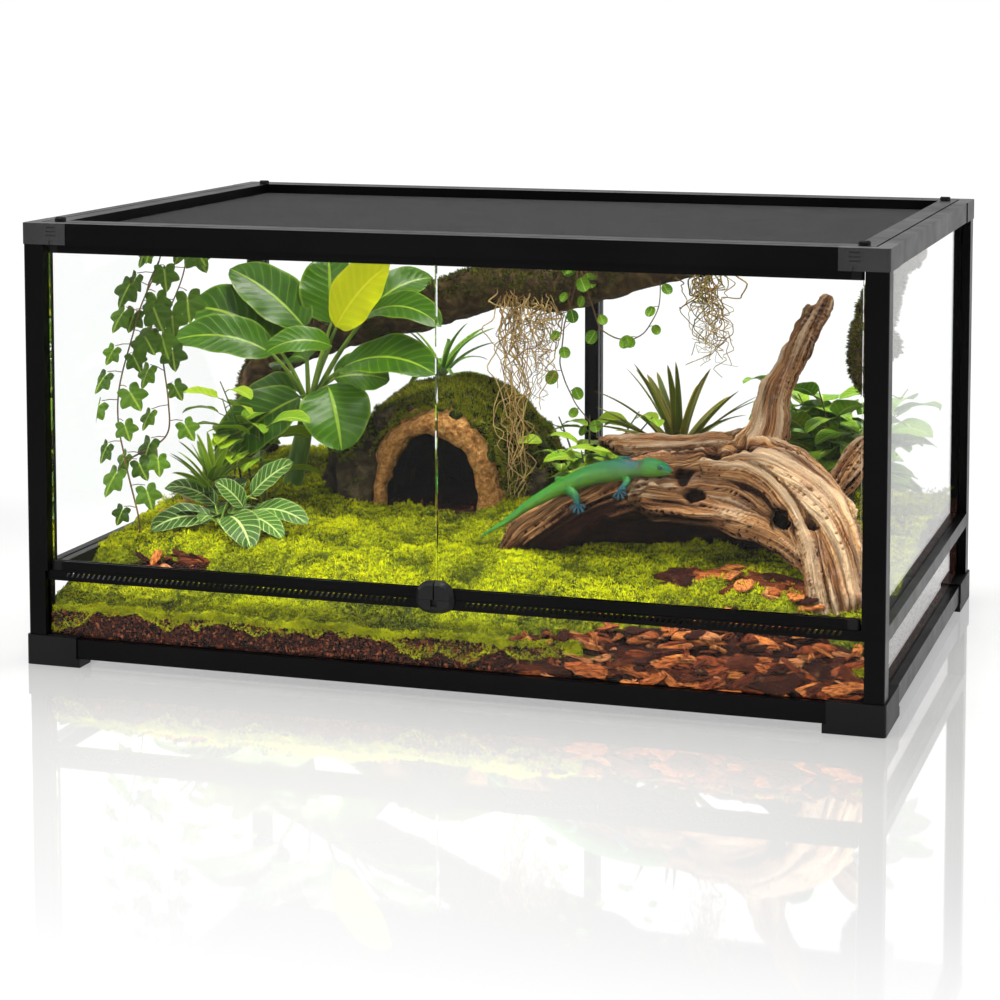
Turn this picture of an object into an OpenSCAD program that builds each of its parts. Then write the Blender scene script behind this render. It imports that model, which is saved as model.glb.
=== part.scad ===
// Front-opening glass terrarium with a lift-off screen lid, planted as a rainforest habitat.
// Millimetres. X runs to the right, Y to the back, Z up. The origin is the bottom centre.

/* [Tank] */
// Overall width over the corner feet
tank_w = 914; // [780:2:1220]
// Overall depth over the corner feet
tank_d = 610; // [500:2:760]
// Height of the frame above the table
tank_h = 470; // [400:2:620]
// Height of the tub, up to the top of the vent strip
tub_h = 101; // [90:1:140]

/* [Frame] */
// Width of the rails and the upper corner posts
frame_w = 23; // [22:0.5:28]
// Width of the front lower posts seen from the front
low_post_w = 20; // [18:0.5:22]
// Wall of the hollow rails
wall = 2; // [1.5:0.1:2.5]
// Height of the base rails above the table
base_lift = 9; // [6:0.5:12]
// Height of the base rails
base_h = 20.5; // [18:0.5:26]
// Width of the ledge that carries the floor pane
pane_ledge = 8; // [5:0.5:12]
// Thickness of that ledge
pane_ledge_t = 4; // [3:0.5:5]
// Height of the tub's side and back rim rails
rim_h = 15; // [13:0.5:20]
// How far the rim rails rise above the vent strip's top
rim_rise = 2; // [0:0.5:4]
// Width of the centre back post
back_post_w = 17; // [14:0.5:24]
// Height of the top rails
top_h = 22.5; // [21:0.5:30]
// Thickness of the top rails' outer wall
top_wall = 14; // [14:0.5:18]
// Width of the ledge that carries the lid
lid_ledge = 10; // [6:0.5:14]
// Height of that ledge
lid_ledge_h = 8.5; // [7:0.5:9.5]
// Corner radius of the posts
post_r = 3; // [1:0.5:5]

/* [Glass] */
// Thickness of the wall and door panes
glass_t = 4; // [3:0.5:5]
// Thickness of the floor pane
floor_t = 4; // [3:0.5:6]
// Depth of the glass grooves
groove_d = 5; // [4:0.5:6]
// Outer face of the frame to the middle of a wall pane
glass_in = 11.5; // [11:0.25:12]
// Play of a pane in its groove, on each side
glass_play = 0.3; // [0.2:0.05:0.5]

/* [Corner pieces] */
// Height of the corner feet
foot_h = 31.5; // [30:0.5:40]
// Length of a foot along the front
foot_x = 58; // [45:1:90]
// Length of a foot along the side
foot_y = 80; // [50:1:110]
// How far the feet stand proud of the frame
foot_proud = 2; // [1:0.25:4]
// How far the sole reaches past the foot under each rail
sole_lip = 4; // [0:0.5:10]
// Length of a top connector along the front
conn_x = 49; // [46:1:70]
// Length of a top connector along the side
conn_y = 58; // [46:1:80]
// How far the connectors stand proud of the rails
conn_proud = 1; // [0.5:0.25:2]
// Length of the spigots that enter the rails
spigot = 18; // [10:1:25]
// Side of the square spigots between posts
peg = 7.4; // [6:0.2:8]
// Length of those spigots
peg_l = 12; // [8:0.5:16]
// Slip clearance on each side of a spigot
slip = 0.3; // [0.2:0.05:0.4]

/* [Vent] */
// Height of the vent strip
vent_h = 10.5; // [10:0.5:14]
// Depth of the vent strip from front to back
vent_d = 16; // [14:0.5:20]
// Set-back of the doors and the vent strip behind the frame's front
face_in = 5; // [4:0.5:7]
// Spacing of the louvre slots
slot_pitch = 6; // [5:0.5:10]
// Width of a louvre slot
slot_w = 2.4; // [1.5:0.1:3]
// Lean of the louvre slots in degrees
slot_lean = 30; // [0:5:40]
// Bare middle of the strip beside the lock, measured from the centre
slot_bare = 30; // [26:1:60]

/* [Doors] */
// Thickness of the door strips and caps
door_t = 8; // [7.5:0.5:9]
// Height of the door's top strip
door_top_h = 8.5; // [7:0.5:14]
// Height of the door's bottom strip
door_bottom_h = 10; // [8:0.5:16]
// Gap above and below a door
door_gap = 0.5; // [0.3:0.1:1]
// Gap between the two doors
seam = 1.5; // [1:0.1:3]
// Corner post to the pivot axis
pivot_in = 6; // [5.5:0.5:8]
// Length of a pivot cap beside its axis
cap_l = 8; // [6:0.5:14]
// Radius of the pivot pins
pin_r = 2; // [1.5:0.1:2.2]
// Length of the pivot pins
pin_l = 5; // [3:0.5:5]
// Radial running clearance of pins and shafts
running = 0.06; // [0.03:0.01:0.1]
// Outer radius of the hinge bushes
bush_r = 3.5; // [3:0.1:4]

/* [Lock] */
// Half width of the dome that the two pulls form
pull_r = 20.5; // [17:0.5:25]
// Height of the pulls
pull_h = 19; // [16:0.5:24]
// How far pulls and housing stand out of the strips
pull_d = 7; // [6.5:0.25:7]
// Height of the housing under the pulls
housing_h = 14.5; // [13:0.5:20]
// Width of the bolt
bolt_w = 16; // [10:0.5:20]
// Thickness of the bolt
bolt_t = 3; // [2:0.25:3.5]
// Travel of the bolt into the pulls
bolt_travel = 6; // [4:0.5:7]
// Clearance around the bolt
bolt_play = 0.6; // [0.4:0.1:0.7]

/* [Lid] */
// Gap between the lid and the top rails
lid_gap = 2; // [1:0.5:3]
// Width of the lid's rails
lid_w = 20; // [19:0.5:30]
// Depth of the screen below the lid's top
screen_drop = 11; // [10.5:0.25:11]
// Thickness of the screen
screen_t = 1; // [0.6:0.1:1.2]
// Spacing of the screen's wires
mesh_pitch = 60; // [40:2:90]
// Width of the wires
mesh_bar = 3; // [1:0.5:5]
// Gap between the two layers of wires
wire_gap = 0.1; // [0.05:0.05:0.2]
// Radius of the lock knobs
knob_r = 6; // [4:0.5:6]
// Height of the lock knobs above the lid
knob_h = 3; // [2:0.5:6]
// Radius of the lock shafts
shaft_r = 3; // [2:0.25:3]
// Length of the lock tongues from the shaft's axis
tongue_l = 18; // [17:0.5:18]

/* [Planting] */
// Depth of the soil at the front glass
soil_h = 43; // [30:1:50]
// Thickness of the moss carpet
moss_t = 6; // [4:0.5:8]
// Gap between things that rest on each other
seat = 0.3; // [0.2:0.1:0.5]
// Thickness of the leaves
leaf_t = 1; // [0.8:0.1:1.6]
// Thickness of the cork cave's wall
cave_wall = 18; // [12:1:24]

/* [Hidden] */

frame_black = "#1b1b1c";
moulded_black = "#2e2e30";
glass_tint = [0.82, 0.92, 0.9, 0.25];
leaf_green = "#3f7d2a";
wood_tan = "#b98a5c";

half_w = tank_w / 2;
half_d = tank_d / 2;
fx = half_w - foot_proud; // outer face of the side rails
fy = half_d - foot_proud; // outer face of the front and back rails
foot_t = frame_w + foot_proud;
door_in = face_in + door_t / 2; // front of the frame to the middle of the door
groove_w = glass_t + 2 * glass_play;
gx = fx - glass_in;
gy = fy - glass_in;
door_y = -(fy - door_in);

base_top = base_lift + base_h;
floor_top = base_lift + pane_ledge_t + floor_t;
rim_top = tub_h + rim_rise;
rim_low = rim_top - rim_h;
vent_low = tub_h - vent_h;
vent_groove = 2.8;
duct_low = vent_low + vent_groove + 1.5;
duct_top = tub_h - 1.5;
top_low = tank_h - top_h;
post_groove = groove_d + 1.3;
peg_in = 9; // outer face of the frame to the axis of the post spigots
chamber_low = base_lift + wall;
chamber_h = base_top - groove_d - wall - chamber_low;
top_room = 3; // wall around the chamber of a top rail
top_chamber_low = top_low + groove_d + top_room;
top_chamber_h = tank_h - top_room - top_chamber_low;

post_in_x = fx - frame_w; // inner face of the upper posts
post_in_y = fy - frame_w;
pivot_x = post_in_x - pivot_in;
door_low = tub_h + door_gap;
door_high = top_low - door_gap;
channel_w = glass_t + 0.4;
channel_d = door_top_h - 3;
door_face = fy - face_in; // distance of the strips' front face from the middle

pull_face = door_face + pull_d;
pocket_in = door_face + bolt_t + 2 * bolt_play;

lid_x = fx - top_wall - lid_gap;
lid_y = fy - top_wall - lid_gap;
lid_low = top_low + lid_ledge_h;
lock_in = 13; // outer edge of the lid to the axis of a lock
lock_x = lid_x - lock_in;
lock_y = lid_y - lock_in;
tongue_low = tank_h - 8.7;
tongue_t = 3.7;
tongue_w = 7;
screen_top = tank_h - screen_drop;

// Planting plan: drawn for a clear half width of 440, half depth of 290 and a clear
// height of 387 above the soil, and stretched to the tank's inside
bed_z = floor_top + soil_h;
in_x = gx - glass_t / 2;
in_y = gy - glass_t / 2;
stretch = [in_x / 440, in_y / 290, (top_low - bed_z) / 387];
function plan(p) = [p[0] * stretch[0], p[1] * stretch[1], bed_z + p[2] * stretch[2]];

// Surface of the moss above the soil's front level, in the plan
hummocks = [[-175, -150, 12, 80], [60, -175, 9, 75], [-340, -130, 10, 70], [170, -120, -14, 80],
    [385, 40, 8, 80], [-20, 120, 8, 90], [-330, 180, 18, 110], [180, 200, 10, 120],
    [300, -215, 6, 70]];
function rise(t) = let (c = min(1, max(0, t))) c * c * (3 - 2 * c);
function ground(x, y) = 44 * rise((y + 300) / 170) + 22 * rise((y + 150) / 250)
    + 1.5 * sin(x * 2.9 + y) * cos(y * 3.7)
    + rise((y + 290) / 60) * sum([for (h = hummocks)
        h[2] * exp(-((x - h[0]) * (x - h[0]) + (y - h[1]) * (y - h[1])) / (h[3] * h[3]))]);
function on_moss(x, y, dz = 0) = [x, y, ground(x, y) + dz];
function sum(v, i = 0) = i < len(v) ? v[i] + sum(v, i + 1) : 0;

// ---------- helpers ----------

// Mirrors a piece drawn in the back right quarter to another corner
module corner(sx, sy) {
    mirror([sx < 0 ? 1 : 0, 0, 0]) mirror([0, sy < 0 ? 1 : 0, 0]) children();
}

// Bar along X with its outer face at the front, or at the back; the section's first
// axis runs inward and its second axis up
module bar_x(length, back = false) {
    mirror([0, back ? 1 : 0, 0]) translate([-length / 2, -fy, 0])
        rotate([90, 0, 90]) linear_extrude(length) children();
}

// The same along Y, with its outer face on the left or the right
module bar_y(length, right = false) {
    mirror([right ? 1 : 0, 0, 0]) translate([-fx, length / 2, 0])
        rotate([90, 0, 0]) linear_extrude(length) children();
}

// L-shaped plan with a rounded outer corner at (cx, cy)
module ell(cx, cy, length_x, length_y, thick, r) {
    translate([cx - length_x, cy - thick]) square([length_x - r, thick]);
    translate([cx - thick, cy - length_y]) square([thick, length_y - r]);
    translate([cx - r, cy - r]) circle(r, $fn = 48);
}

// Box between two corners
module block(low, high) {
    translate(low) cube(high - low);
}

// ---------- feet, base and tub ----------

module foot(front) {
    inset = front ? door_in : glass_in;
    post_w = front ? low_post_w : frame_w;
    color(moulded_black) difference() {
        union() {
            linear_extrude(foot_h) ell(half_w, half_d, foot_x, foot_y, foot_t, post_r + 1);
            linear_extrude(base_lift)
                ell(half_w, half_d, foot_x + sole_lip, foot_y + sole_lip, foot_t, post_r + 1);
            translate([0, 0, base_lift]) linear_extrude(pane_ledge_t)
                ell(half_w, half_d, foot_x, foot_y, foot_t + pane_ledge, post_r + 1);
            block([half_w - foot_x - spigot, fy - frame_w + wall + slip, chamber_low + slip],
                [half_w - foot_x + 1, fy - wall - slip, chamber_low + chamber_h - slip]);
            block([fx - frame_w + wall + slip, half_d - foot_y - spigot, chamber_low + slip],
                [fx - wall - slip, half_d - foot_y + 1, chamber_low + chamber_h - slip]);
            translate([0, 0, foot_h - 1]) linear_extrude(peg_l + 1) post_peg(peg);
        }
        block([half_w - foot_x - 1, fy - inset - groove_w / 2, base_top - groove_d],
            [fx - post_w + post_groove, fy - inset + groove_w / 2, foot_h + 1]);
        block([gx - groove_w / 2, half_d - foot_y - 1, base_top - groove_d],
            [gx + groove_w / 2, post_in_y + post_groove, foot_h + 1]);
    }
}

// Square of the spigots and sockets that join foot, posts and connector
module post_peg(side) {
    translate([fx - peg_in, fy - peg_in]) square(side, center = true);
}

module base_section(inset) {
    difference() {
        union() {
            translate([0, base_lift]) square([frame_w, base_h]);
            translate([0, base_lift]) square([frame_w + pane_ledge, pane_ledge_t]);
        }
        translate([inset - groove_w / 2, base_top - groove_d]) square([groove_w, groove_d + 1]);
        translate([wall, chamber_low]) square([frame_w - 2 * wall, chamber_h]);
    }
}

module floor_pane_shape() {
    play = 0.5;
    color(glass_tint) block([-post_in_x + play, -post_in_y + play, floor_top - floor_t],
        [post_in_x - play, post_in_y - play, floor_top]);
}

// Plan of a corner post in the back right quarter
module post_plan(width, front, inset) {
    difference() {
        union() {
            translate([fx - width, post_in_y]) square([width - post_r, frame_w]);
            translate([fx - width, post_in_y]) square([width, frame_w - post_r]);
            translate([fx - post_r, fy - post_r]) circle(post_r, $fn = 48);
        }
        translate([gx - groove_w / 2, post_in_y - 1]) square([groove_w, post_groove + 1]);
        if (!front || inset > 0)
            translate([fx - width - 1, fy - (front ? inset : glass_in) - groove_w / 2])
                square([post_groove + 1, groove_w]);
    }
}

module lower_post(front) {
    difference() {
        union() {
            translate([0, 0, foot_h]) linear_extrude(tub_h - foot_h)
                post_plan(front ? low_post_w : frame_w, front, door_in);
            translate([0, 0, tub_h - 1]) linear_extrude(peg_l + 1) post_peg(peg);
        }
        translate([0, 0, foot_h - 1]) linear_extrude(peg_l + 2) post_peg(peg + 2 * slip);
    }
}

module upper_post(front) {
    color(frame_black) difference() {
        translate([0, 0, tub_h]) linear_extrude(top_low - tub_h) post_plan(frame_w, front, 0);
        translate([0, 0, tub_h - 1]) linear_extrude(peg_l + 2) post_peg(peg + 2 * slip);
        translate([0, 0, top_low - peg_l - 1]) linear_extrude(peg_l + 2)
            post_peg(peg + 2 * slip);
    }
}

module tub_panes_shape() {
    pane_low = base_top - groove_d;
    front_end = fx - low_post_w + groove_d - 1;
    color(glass_tint) {
        block([-front_end, door_y - glass_t / 2, pane_low],
            [front_end, door_y + glass_t / 2, vent_low + vent_groove - 0.3]);
        block([-(post_in_x + groove_d), gy - glass_t / 2, pane_low],
            [post_in_x + groove_d, gy + glass_t / 2, rim_low + groove_d - 0.5]);
        for (side = [-1, 1])
            translate([side * gx, 0, pane_low]) translate([-glass_t / 2, -post_in_y - groove_d, 0])
                cube([glass_t, 2 * (post_in_y + groove_d), rim_low + groove_d - 0.5 - pane_low]);
    }
}

module rim_section() {
    difference() {
        translate([0, rim_low]) square([frame_w, rim_h]);
        translate([glass_in - groove_w / 2, rim_low - 1]) square([groove_w, groove_d + 1]);
        translate([glass_in - groove_w / 2, rim_top - groove_d]) square([groove_w, groove_d + 1]);
    }
}

// ---------- vent strip ----------

module vent_section() {
    difference() {
        translate([face_in, vent_low]) square([vent_d, vent_h]);
        translate([face_in + 2, duct_low]) square([vent_d, duct_top - duct_low]);
        translate([door_in - groove_w / 2, vent_low - 1]) square([groove_w, vent_groove + 1]);
    }
}

// Lip that the closed doors stop against, 1.5 behind them
module stop_lip() {
    translate([face_in + door_t + 1.5, tub_h - 0.5]) square([2, 4.5]);
}

module vent_strip_shape() {
    half = fx - low_post_w;
    slot_end = pivot_x - bush_r - 7;
    lean = (duct_top - duct_low) * tan(slot_lean);
    slots = floor((slot_end - slot_bare) / slot_pitch);
    color(frame_black) difference() {
        union() {
            bar_x(2 * half) vent_section();
            bar_x(2 * (post_in_x - seat)) stop_lip();
            for (side = [-1, 1])
                translate([side * (pivot_x - bush_r - 2 + half) / 2, door_y,
                    (duct_low + duct_top) / 2])
                    cube([half - pivot_x + bush_r + 2, door_t, duct_top - duct_low + 0.4],
                        center = true);
        }
        for (side = [-1, 1]) {
            translate([side * pivot_x, door_y, tub_h - pin_l - 1])
                cylinder(r = bush_r, h = pin_l + 2, $fn = 48);
            translate([0, -door_face + 3, 0]) rotate([90, 0, 0]) linear_extrude(4)
                for (i = [0 : slots - 1])
                    translate([side < 0 ? -slot_bare - (i + 1) * slot_pitch
                        : slot_bare + i * slot_pitch, 0])
                        polygon([[0, duct_low], [slot_w, duct_low], [slot_w + lean, duct_top],
                            [lean, duct_top]]);
        }
    }
}

// ---------- top frame ----------

module top_section(front) {
    difference() {
        union() {
            translate([0, top_low]) square([top_wall, top_h]);
            translate([0, top_low]) square([top_wall + lid_ledge, lid_ledge_h]);
        }
        translate([top_room, top_chamber_low])
            square([top_wall - 2 * top_room, top_chamber_h]);
        if (!front)
            translate([glass_in - groove_w / 2, top_low - 1]) square([groove_w, groove_d + 1]);
    }
}

module connector(front) {
    out = conn_proud;
    color(moulded_black) difference() {
        union() {
            translate([0, 0, top_low]) linear_extrude(top_h)
                ell(fx + out, fy + out, conn_x + out, conn_y + out, top_wall + out, post_r + 1);
            translate([0, 0, top_low]) linear_extrude(lid_ledge_h)
                ell(fx + out, fy + out, conn_x + out, conn_y + out, top_wall + lid_ledge + out,
                    post_r + 1);
            block([fx - conn_x - spigot, fy - top_wall + top_room + slip, top_chamber_low + slip],
                [fx - conn_x + 1, fy - top_room - slip, top_chamber_low + top_chamber_h - slip]);
            block([fx - top_wall + top_room + slip, fy - conn_y - spigot, top_chamber_low + slip],
                [fx - top_room - slip, fy - conn_y + 1, top_chamber_low + top_chamber_h - slip]);
            translate([0, 0, top_low - peg_l]) linear_extrude(peg_l + 1) post_peg(peg);
        }
        block([gx - groove_w / 2, fy - conn_y - 1, top_low - 1],
            [gx + groove_w / 2, post_in_y + post_groove, top_low + groove_d]);
        if (!front)
            block([fx - conn_x - 1, gy - groove_w / 2, top_low - 1],
                [post_in_x + post_groove, gy + groove_w / 2, top_low + groove_d]);
        if (front)
            translate([pivot_x, -door_y, top_low - 1])
                cylinder(r = bush_r, h = pin_l + 2, $fn = 48);
        lock_notch();
        grip_mark();
    }
}

// Notch in the rail's wall that a turned lid lock enters
module lock_notch() {
    block([lock_x - tongue_l + 4, fy - top_wall - 1, tongue_low - slip],
        [lock_x + tongue_w / 2 + slip + 1, lid_y + lid_gap + 3.6, tongue_low + tongue_t + slip]);
}

// Three short grooves and a tab slot moulded into a connector's front face
module grip_mark() {
    mark_x = fx - 33;
    mark_w = 11;
    deep = 0.8;
    for (i = [0 : 2])
        block([mark_x - mark_w / 2, fy + conn_proud - deep, top_low + 9 + i * 4.2],
            [mark_x + mark_w / 2, fy + conn_proud + 1, top_low + 10.4 + i * 4.2]);
    block([mark_x - 2.5, fy + conn_proud - deep, top_low - 1],
        [mark_x + 2.5, fy + conn_proud + 1, top_low + 4.5]);
}

module wall_pane(low, high, from_y, to_y) {
    block([gx - glass_t / 2, from_y, low], [gx + glass_t / 2, to_y, high]);
}

module side_pane() {
    color(glass_tint) wall_pane(rim_top - groove_d, top_low + groove_d - 0.5,
        -post_in_y - groove_d, post_in_y + groove_d);
}

module back_pane() {
    color(glass_tint) block([back_post_w / 2 - groove_d, gy - glass_t / 2, rim_top - groove_d],
        [post_in_x + groove_d, gy + glass_t / 2, top_low + groove_d - 0.5]);
}

module back_post_shape() {
    color(frame_black) translate([0, 0, rim_top]) linear_extrude(top_low - rim_top)
        difference() {
            translate([-back_post_w / 2, post_in_y]) square([back_post_w, frame_w]);
            for (side = [-1, 1])
                translate([side * back_post_w / 2, gy])
                    square([2 * (groove_d + 0.4), groove_w], center = true);
        }
}

// ---------- doors and lock ----------

module bush(low) {
    translate([pivot_x, door_y, low]) difference() {
        cylinder(r = bush_r, h = pin_l + 1, $fn = 48);
        translate([0, 0, -1]) cylinder(r = pin_r + running, h = pin_l + 3, $fn = 48);
    }
}

module hinge_bushes_shape() {
    color(moulded_black) for (side = [-1, 1]) mirror([side < 0 ? 1 : 0, 0, 0]) {
        bush(tub_h - pin_l - 1);
        bush(top_low);
    }
}

module door_glass() {
    color(glass_tint) block([seam / 2, door_y - glass_t / 2, door_low + 3],
        [pivot_x + door_t / 2 - 1, door_y + glass_t / 2, door_high - 3]);
}

module door_channel(play_x) {
    block([-1, door_y - channel_w / 2, door_low + 3],
        [pivot_x + door_t / 2 - 1 + play_x, door_y + channel_w / 2, door_high - 3]);
}

module door_strips() {
    end = pivot_x - cap_l;
    color(frame_black) difference() {
        union() {
            block([seam / 2, -door_face, door_low], [end, -door_face + door_t,
                door_low + door_bottom_h]);
            block([seam / 2, -door_face, door_high - door_top_h],
                [end, -door_face + door_t, door_high]);
        }
        door_channel(0);
    }
}

module pivot_cap(low, height, pin_z) {
    translate([0, 0, low]) linear_extrude(height) {
        translate([pivot_x - cap_l, -door_face]) square([cap_l, door_t]);
        translate([pivot_x, door_y]) circle(door_t / 2, $fn = 64);
    }
    translate([pivot_x, door_y, pin_z]) cylinder(r = pin_r, h = pin_l + 1, $fn = 48);
}

module door_caps() {
    color(moulded_black) difference() {
        union() {
            pivot_cap(door_low, door_bottom_h, door_low - pin_l);
            pivot_cap(door_high - door_top_h, door_top_h, door_high - 1);
        }
        door_channel(0.2);
    }
}

// Half-round outline in X and Z, flattened a little towards a squarer dome
module dome(r, h) {
    polygon([for (a = [0 : 15 : 180]) [r * sign(cos(a)) * pow(abs(cos(a)), 0.75),
        h * pow(sin(a), 0.85)]]);
}

// Faceted dome from its back face at y to its smaller front face
module dome_solid(r, h, y_back, y_front) {
    hull() {
        translate([0, y_back, 0]) rotate([90, 0, 0]) linear_extrude(2) dome(r, h);
        translate([0, y_front + 1, 0]) rotate([90, 0, 0]) linear_extrude(1) dome(r - 4, h - 4);
    }
}

module door_pull() {
    strip_top = door_low + door_bottom_h;
    color(moulded_black) difference() {
        union() {
            translate([0, 0, door_low]) dome_solid(pull_r, pull_h, -door_face, -pull_face);
            intersection() {
                translate([0, door_y - glass_t / 2, door_low]) rotate([90, 0, 0])
                    linear_extrude(door_t) dome(pull_r - 0.5, pull_h - 0.5);
                block([0, -door_face - 1, strip_top + 0.2],
                    [pull_r, door_y - glass_t / 2, strip_top + pull_h]);
            }
        }
        block([-pull_r - 1, -half_d - 10, 0], [seam / 2, 0, tank_h]);
        block([-bolt_w / 2 - bolt_play, -pocket_in, door_low - 1],
            [bolt_w / 2 + bolt_play, -door_face + 0.01, door_low + bolt_travel - 0.1]);
    }
}

module lock_housing_shape() {
    top = door_low - 0.3;
    slot = 3.4;
    color(moulded_black) difference() {
        translate([0, 0, top]) mirror([0, 0, 1])
            dome_solid(pull_r, housing_h, -door_face, -pull_face);
        block([-bolt_w / 2 - bolt_play, -pocket_in, vent_low],
            [bolt_w / 2 + bolt_play, -door_face + 1, top + 1]);
        block([-slot, -pull_face - 1, vent_low + 1], [slot, -door_face, top + 1]);
    }
}

module lock_bolt_shape() {
    back = -door_face - bolt_play;
    color(moulded_black) {
        block([-bolt_w / 2, back - bolt_t, vent_low + bolt_play],
            [bolt_w / 2, back, tub_h - 0.1]);
        block([-3, -pull_face, vent_low + 1.5], [3, back - bolt_t + 0.5, vent_low + 4]);
    }
}

// ---------- lid ----------

module lid_frame_shape() {
    inner = [lid_x - lid_w, lid_y - lid_w];
    slot_in = 6.3;
    seam_cut = 0.4;
    color(frame_black) difference() {
        block([-lid_x, -lid_y, lid_low], [lid_x, lid_y, tank_h]);
        block([-inner[0], -inner[1], lid_low - 1], [inner[0], inner[1], tank_h + 1]);
        block([-inner[0] - slot_in, -inner[1] - slot_in, screen_top - screen_t - 0.3],
            [inner[0] + slot_in, inner[1] + slot_in, screen_top + 0.3]);
        for (sx = [-1, 1], sy = [-1, 1]) corner(sx, sy) {
            lock_pocket();
            translate([lock_x, lock_y, tongue_low])
                cylinder(r = shaft_r + running, h = 20, $fn = 48);
            block([lid_x - 40, inner[1] - 1, tank_h - seam_cut],
                [lid_x - 40 + seam_cut, lid_y + 1, tank_h + 1]);
            block([inner[0] - 1, lid_y - 40, tank_h - seam_cut],
                [lid_x + 1, lid_y - 40 + seam_cut, tank_h + 1]);
        }
    }
}

// Room for a lock's tongue, from its rest along the rail to its turned place
module lock_pocket() {
    block([lock_x - tongue_l - 1, lock_y - tongue_w / 2 - 0.6, tongue_low - slip],
        [lock_x + tongue_w / 2 + 0.6, lid_y + 1, tongue_low + tongue_t + 2 * slip]);
}

// Wires of the screen: one layer each way, a hair apart where they cross
module lid_screen_shape() {
    half = [lid_x - lid_w + 6, lid_y - lid_w + 6];
    wire_t = (screen_t - wire_gap) / 2;
    count = [for (h = half) floor((2 * h - mesh_bar) / mesh_pitch)];
    color("#3a3a3c") {
        for (i = [0 : count[0]])
            translate([(i - count[0] / 2) * mesh_pitch, 0, screen_top - wire_t / 2])
                cube([mesh_bar, 2 * half[1], wire_t], center = true);
        for (j = [0 : count[1]])
            translate([0, (j - count[1] / 2) * mesh_pitch, screen_top - screen_t + wire_t / 2])
                cube([2 * half[0], mesh_bar, wire_t], center = true);
    }
}

module lid_lock() {
    color(moulded_black) translate([lock_x, lock_y, 0]) {
        translate([0, 0, tongue_low]) linear_extrude(tongue_t) {
            circle(tongue_w / 2, $fn = 48);
            translate([-tongue_l, -tongue_w / 2]) square([tongue_l, tongue_w]);
        }
        translate([0, 0, tongue_low + 1]) cylinder(r = shaft_r, h = tank_h + 1 - tongue_low,
            $fn = 48);
        translate([0, 0, tank_h + slip]) cylinder(r = knob_r, h = knob_h, $fn = 48);
        translate([-knob_r + 1, -1, tank_h + slip + knob_h - 0.5])
            cube([2 * knob_r - 2, 2, 1.3]);
    }
}

// ---------- planting: shapes ----------

function unit(v) = v / max(norm(v), 0.0001);

// Chain of tapered limbs through plan points, each [x, y, z, radius]
module limbs(path, grow = 0, fn = 8) {
    for (i = [0 : len(path) - 2]) hull() {
        translate(plan(path[i])) sphere(path[i][3] + grow, $fn = fn);
        translate(plan(path[i + 1])) sphere(path[i + 1][3] + grow, $fn = fn);
    }
}

// Thin round strand through plan points, from one radius to another
module strand(path, r0, r1, sides = 5) {
    last = len(path) - 1;
    points = [for (p = path) plan(p)];
    function side_a(i) = unit(cross(unit(points[min(i + 1, last)] - points[max(i - 1, 0)]),
        [0.31, 0.95, 0.1]));
    function side_b(i) = unit(cross(unit(points[min(i + 1, last)] - points[max(i - 1, 0)]),
        side_a(i)));
    rings = [for (i = [0 : last], k = [0 : sides - 1]) points[i]
        + (r0 + (r1 - r0) * i / last) * (cos(360 * k / sides) * side_a(i)
        + sin(360 * k / sides) * side_b(i))];
    walls = [for (i = [0 : last - 1], k = [0 : sides - 1]) let (n = (k + 1) % sides)
        each [[i * sides + k, (i + 1) * sides + k, i * sides + n],
            [i * sides + n, (i + 1) * sides + k, (i + 1) * sides + n]]];
    polyhedron(rings, concat([[for (k = [0 : sides - 1]) k]], walls,
        [[for (k = [sides - 1 : -1 : 0]) last * sides + k]]));
}

// One leaf from a real point: it heads to yaw, starts at pitch a and ends at pitch b,
// folds up along its midrib and rolls about it
module leaf(base, yaw, a, b, length, width, roll = 0, fold = 0.25, parts = 4, full = 0.8) {
    across = [-sin(yaw), cos(yaw), 0];
    function pitch(i) = a + (b - a) * i / parts;
    function step(i) = length / parts * [cos(pitch(i)) * cos(yaw), cos(pitch(i)) * sin(yaw),
        sin(pitch(i))];
    function mid(i) = i == 0 ? base : mid(i - 1) + step(i - 0.5);
    function up0(i) = [-sin(pitch(i)) * cos(yaw), -sin(pitch(i)) * sin(yaw), cos(pitch(i))];
    function side(i) = cos(roll) * across + sin(roll) * up0(i);
    function up(i) = cos(roll) * up0(i) - sin(roll) * across;
    function half(i) = 0.4 + width / 2 * pow(sin(180 * pow(i / parts, full)), 0.8);
    top = [for (i = [0 : parts]) each [mid(i) + half(i) * (side(i) + fold * up(i)), mid(i),
        mid(i) + half(i) * (fold * up(i) - side(i))]];
    low = [for (i = [0 : parts], k = [0 : 2]) top[3 * i + k] - leaf_t * up(i)];
    n = 3 * (parts + 1);
    upper = [for (i = [0 : parts - 1], k = [0, 1]) let (q = 3 * i + k)
        each [[q, q + 3, q + 1], [q + 1, q + 3, q + 4]]];
    under = [for (f = upper) [f[0] + n, f[2] + n, f[1] + n]];
    rim = [for (i = [0 : parts - 1]) let (q = 3 * i, r = 3 * i + 2)
        each [[q, q + n, q + 3], [q + n, q + n + 3, q + 3], [r, r + 3, r + n],
            [r + 3, r + n + 3, r + n]]];
    e = 3 * parts;
    ends = [for (k = [0, 1]) each [[k, k + 1, k + n], [k + 1, k + 1 + n, k + n],
        [e + k, e + k + n, e + k + 1], [e + k + 1, e + k + n, e + k + 1 + n]]];
    polyhedron(concat(top, low), concat(upper, under, rim, ends));
}

// Root plug of a plant, sunk into the bed
module plug(x, y, r, grow = 0) {
    plug_h = 24;
    p = plan(on_moss(x, y));
    translate([p[0], p[1], p[2] - plug_h]) cylinder(r = r + grow, h = plug_h + 3, $fn = 8);
}

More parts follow.
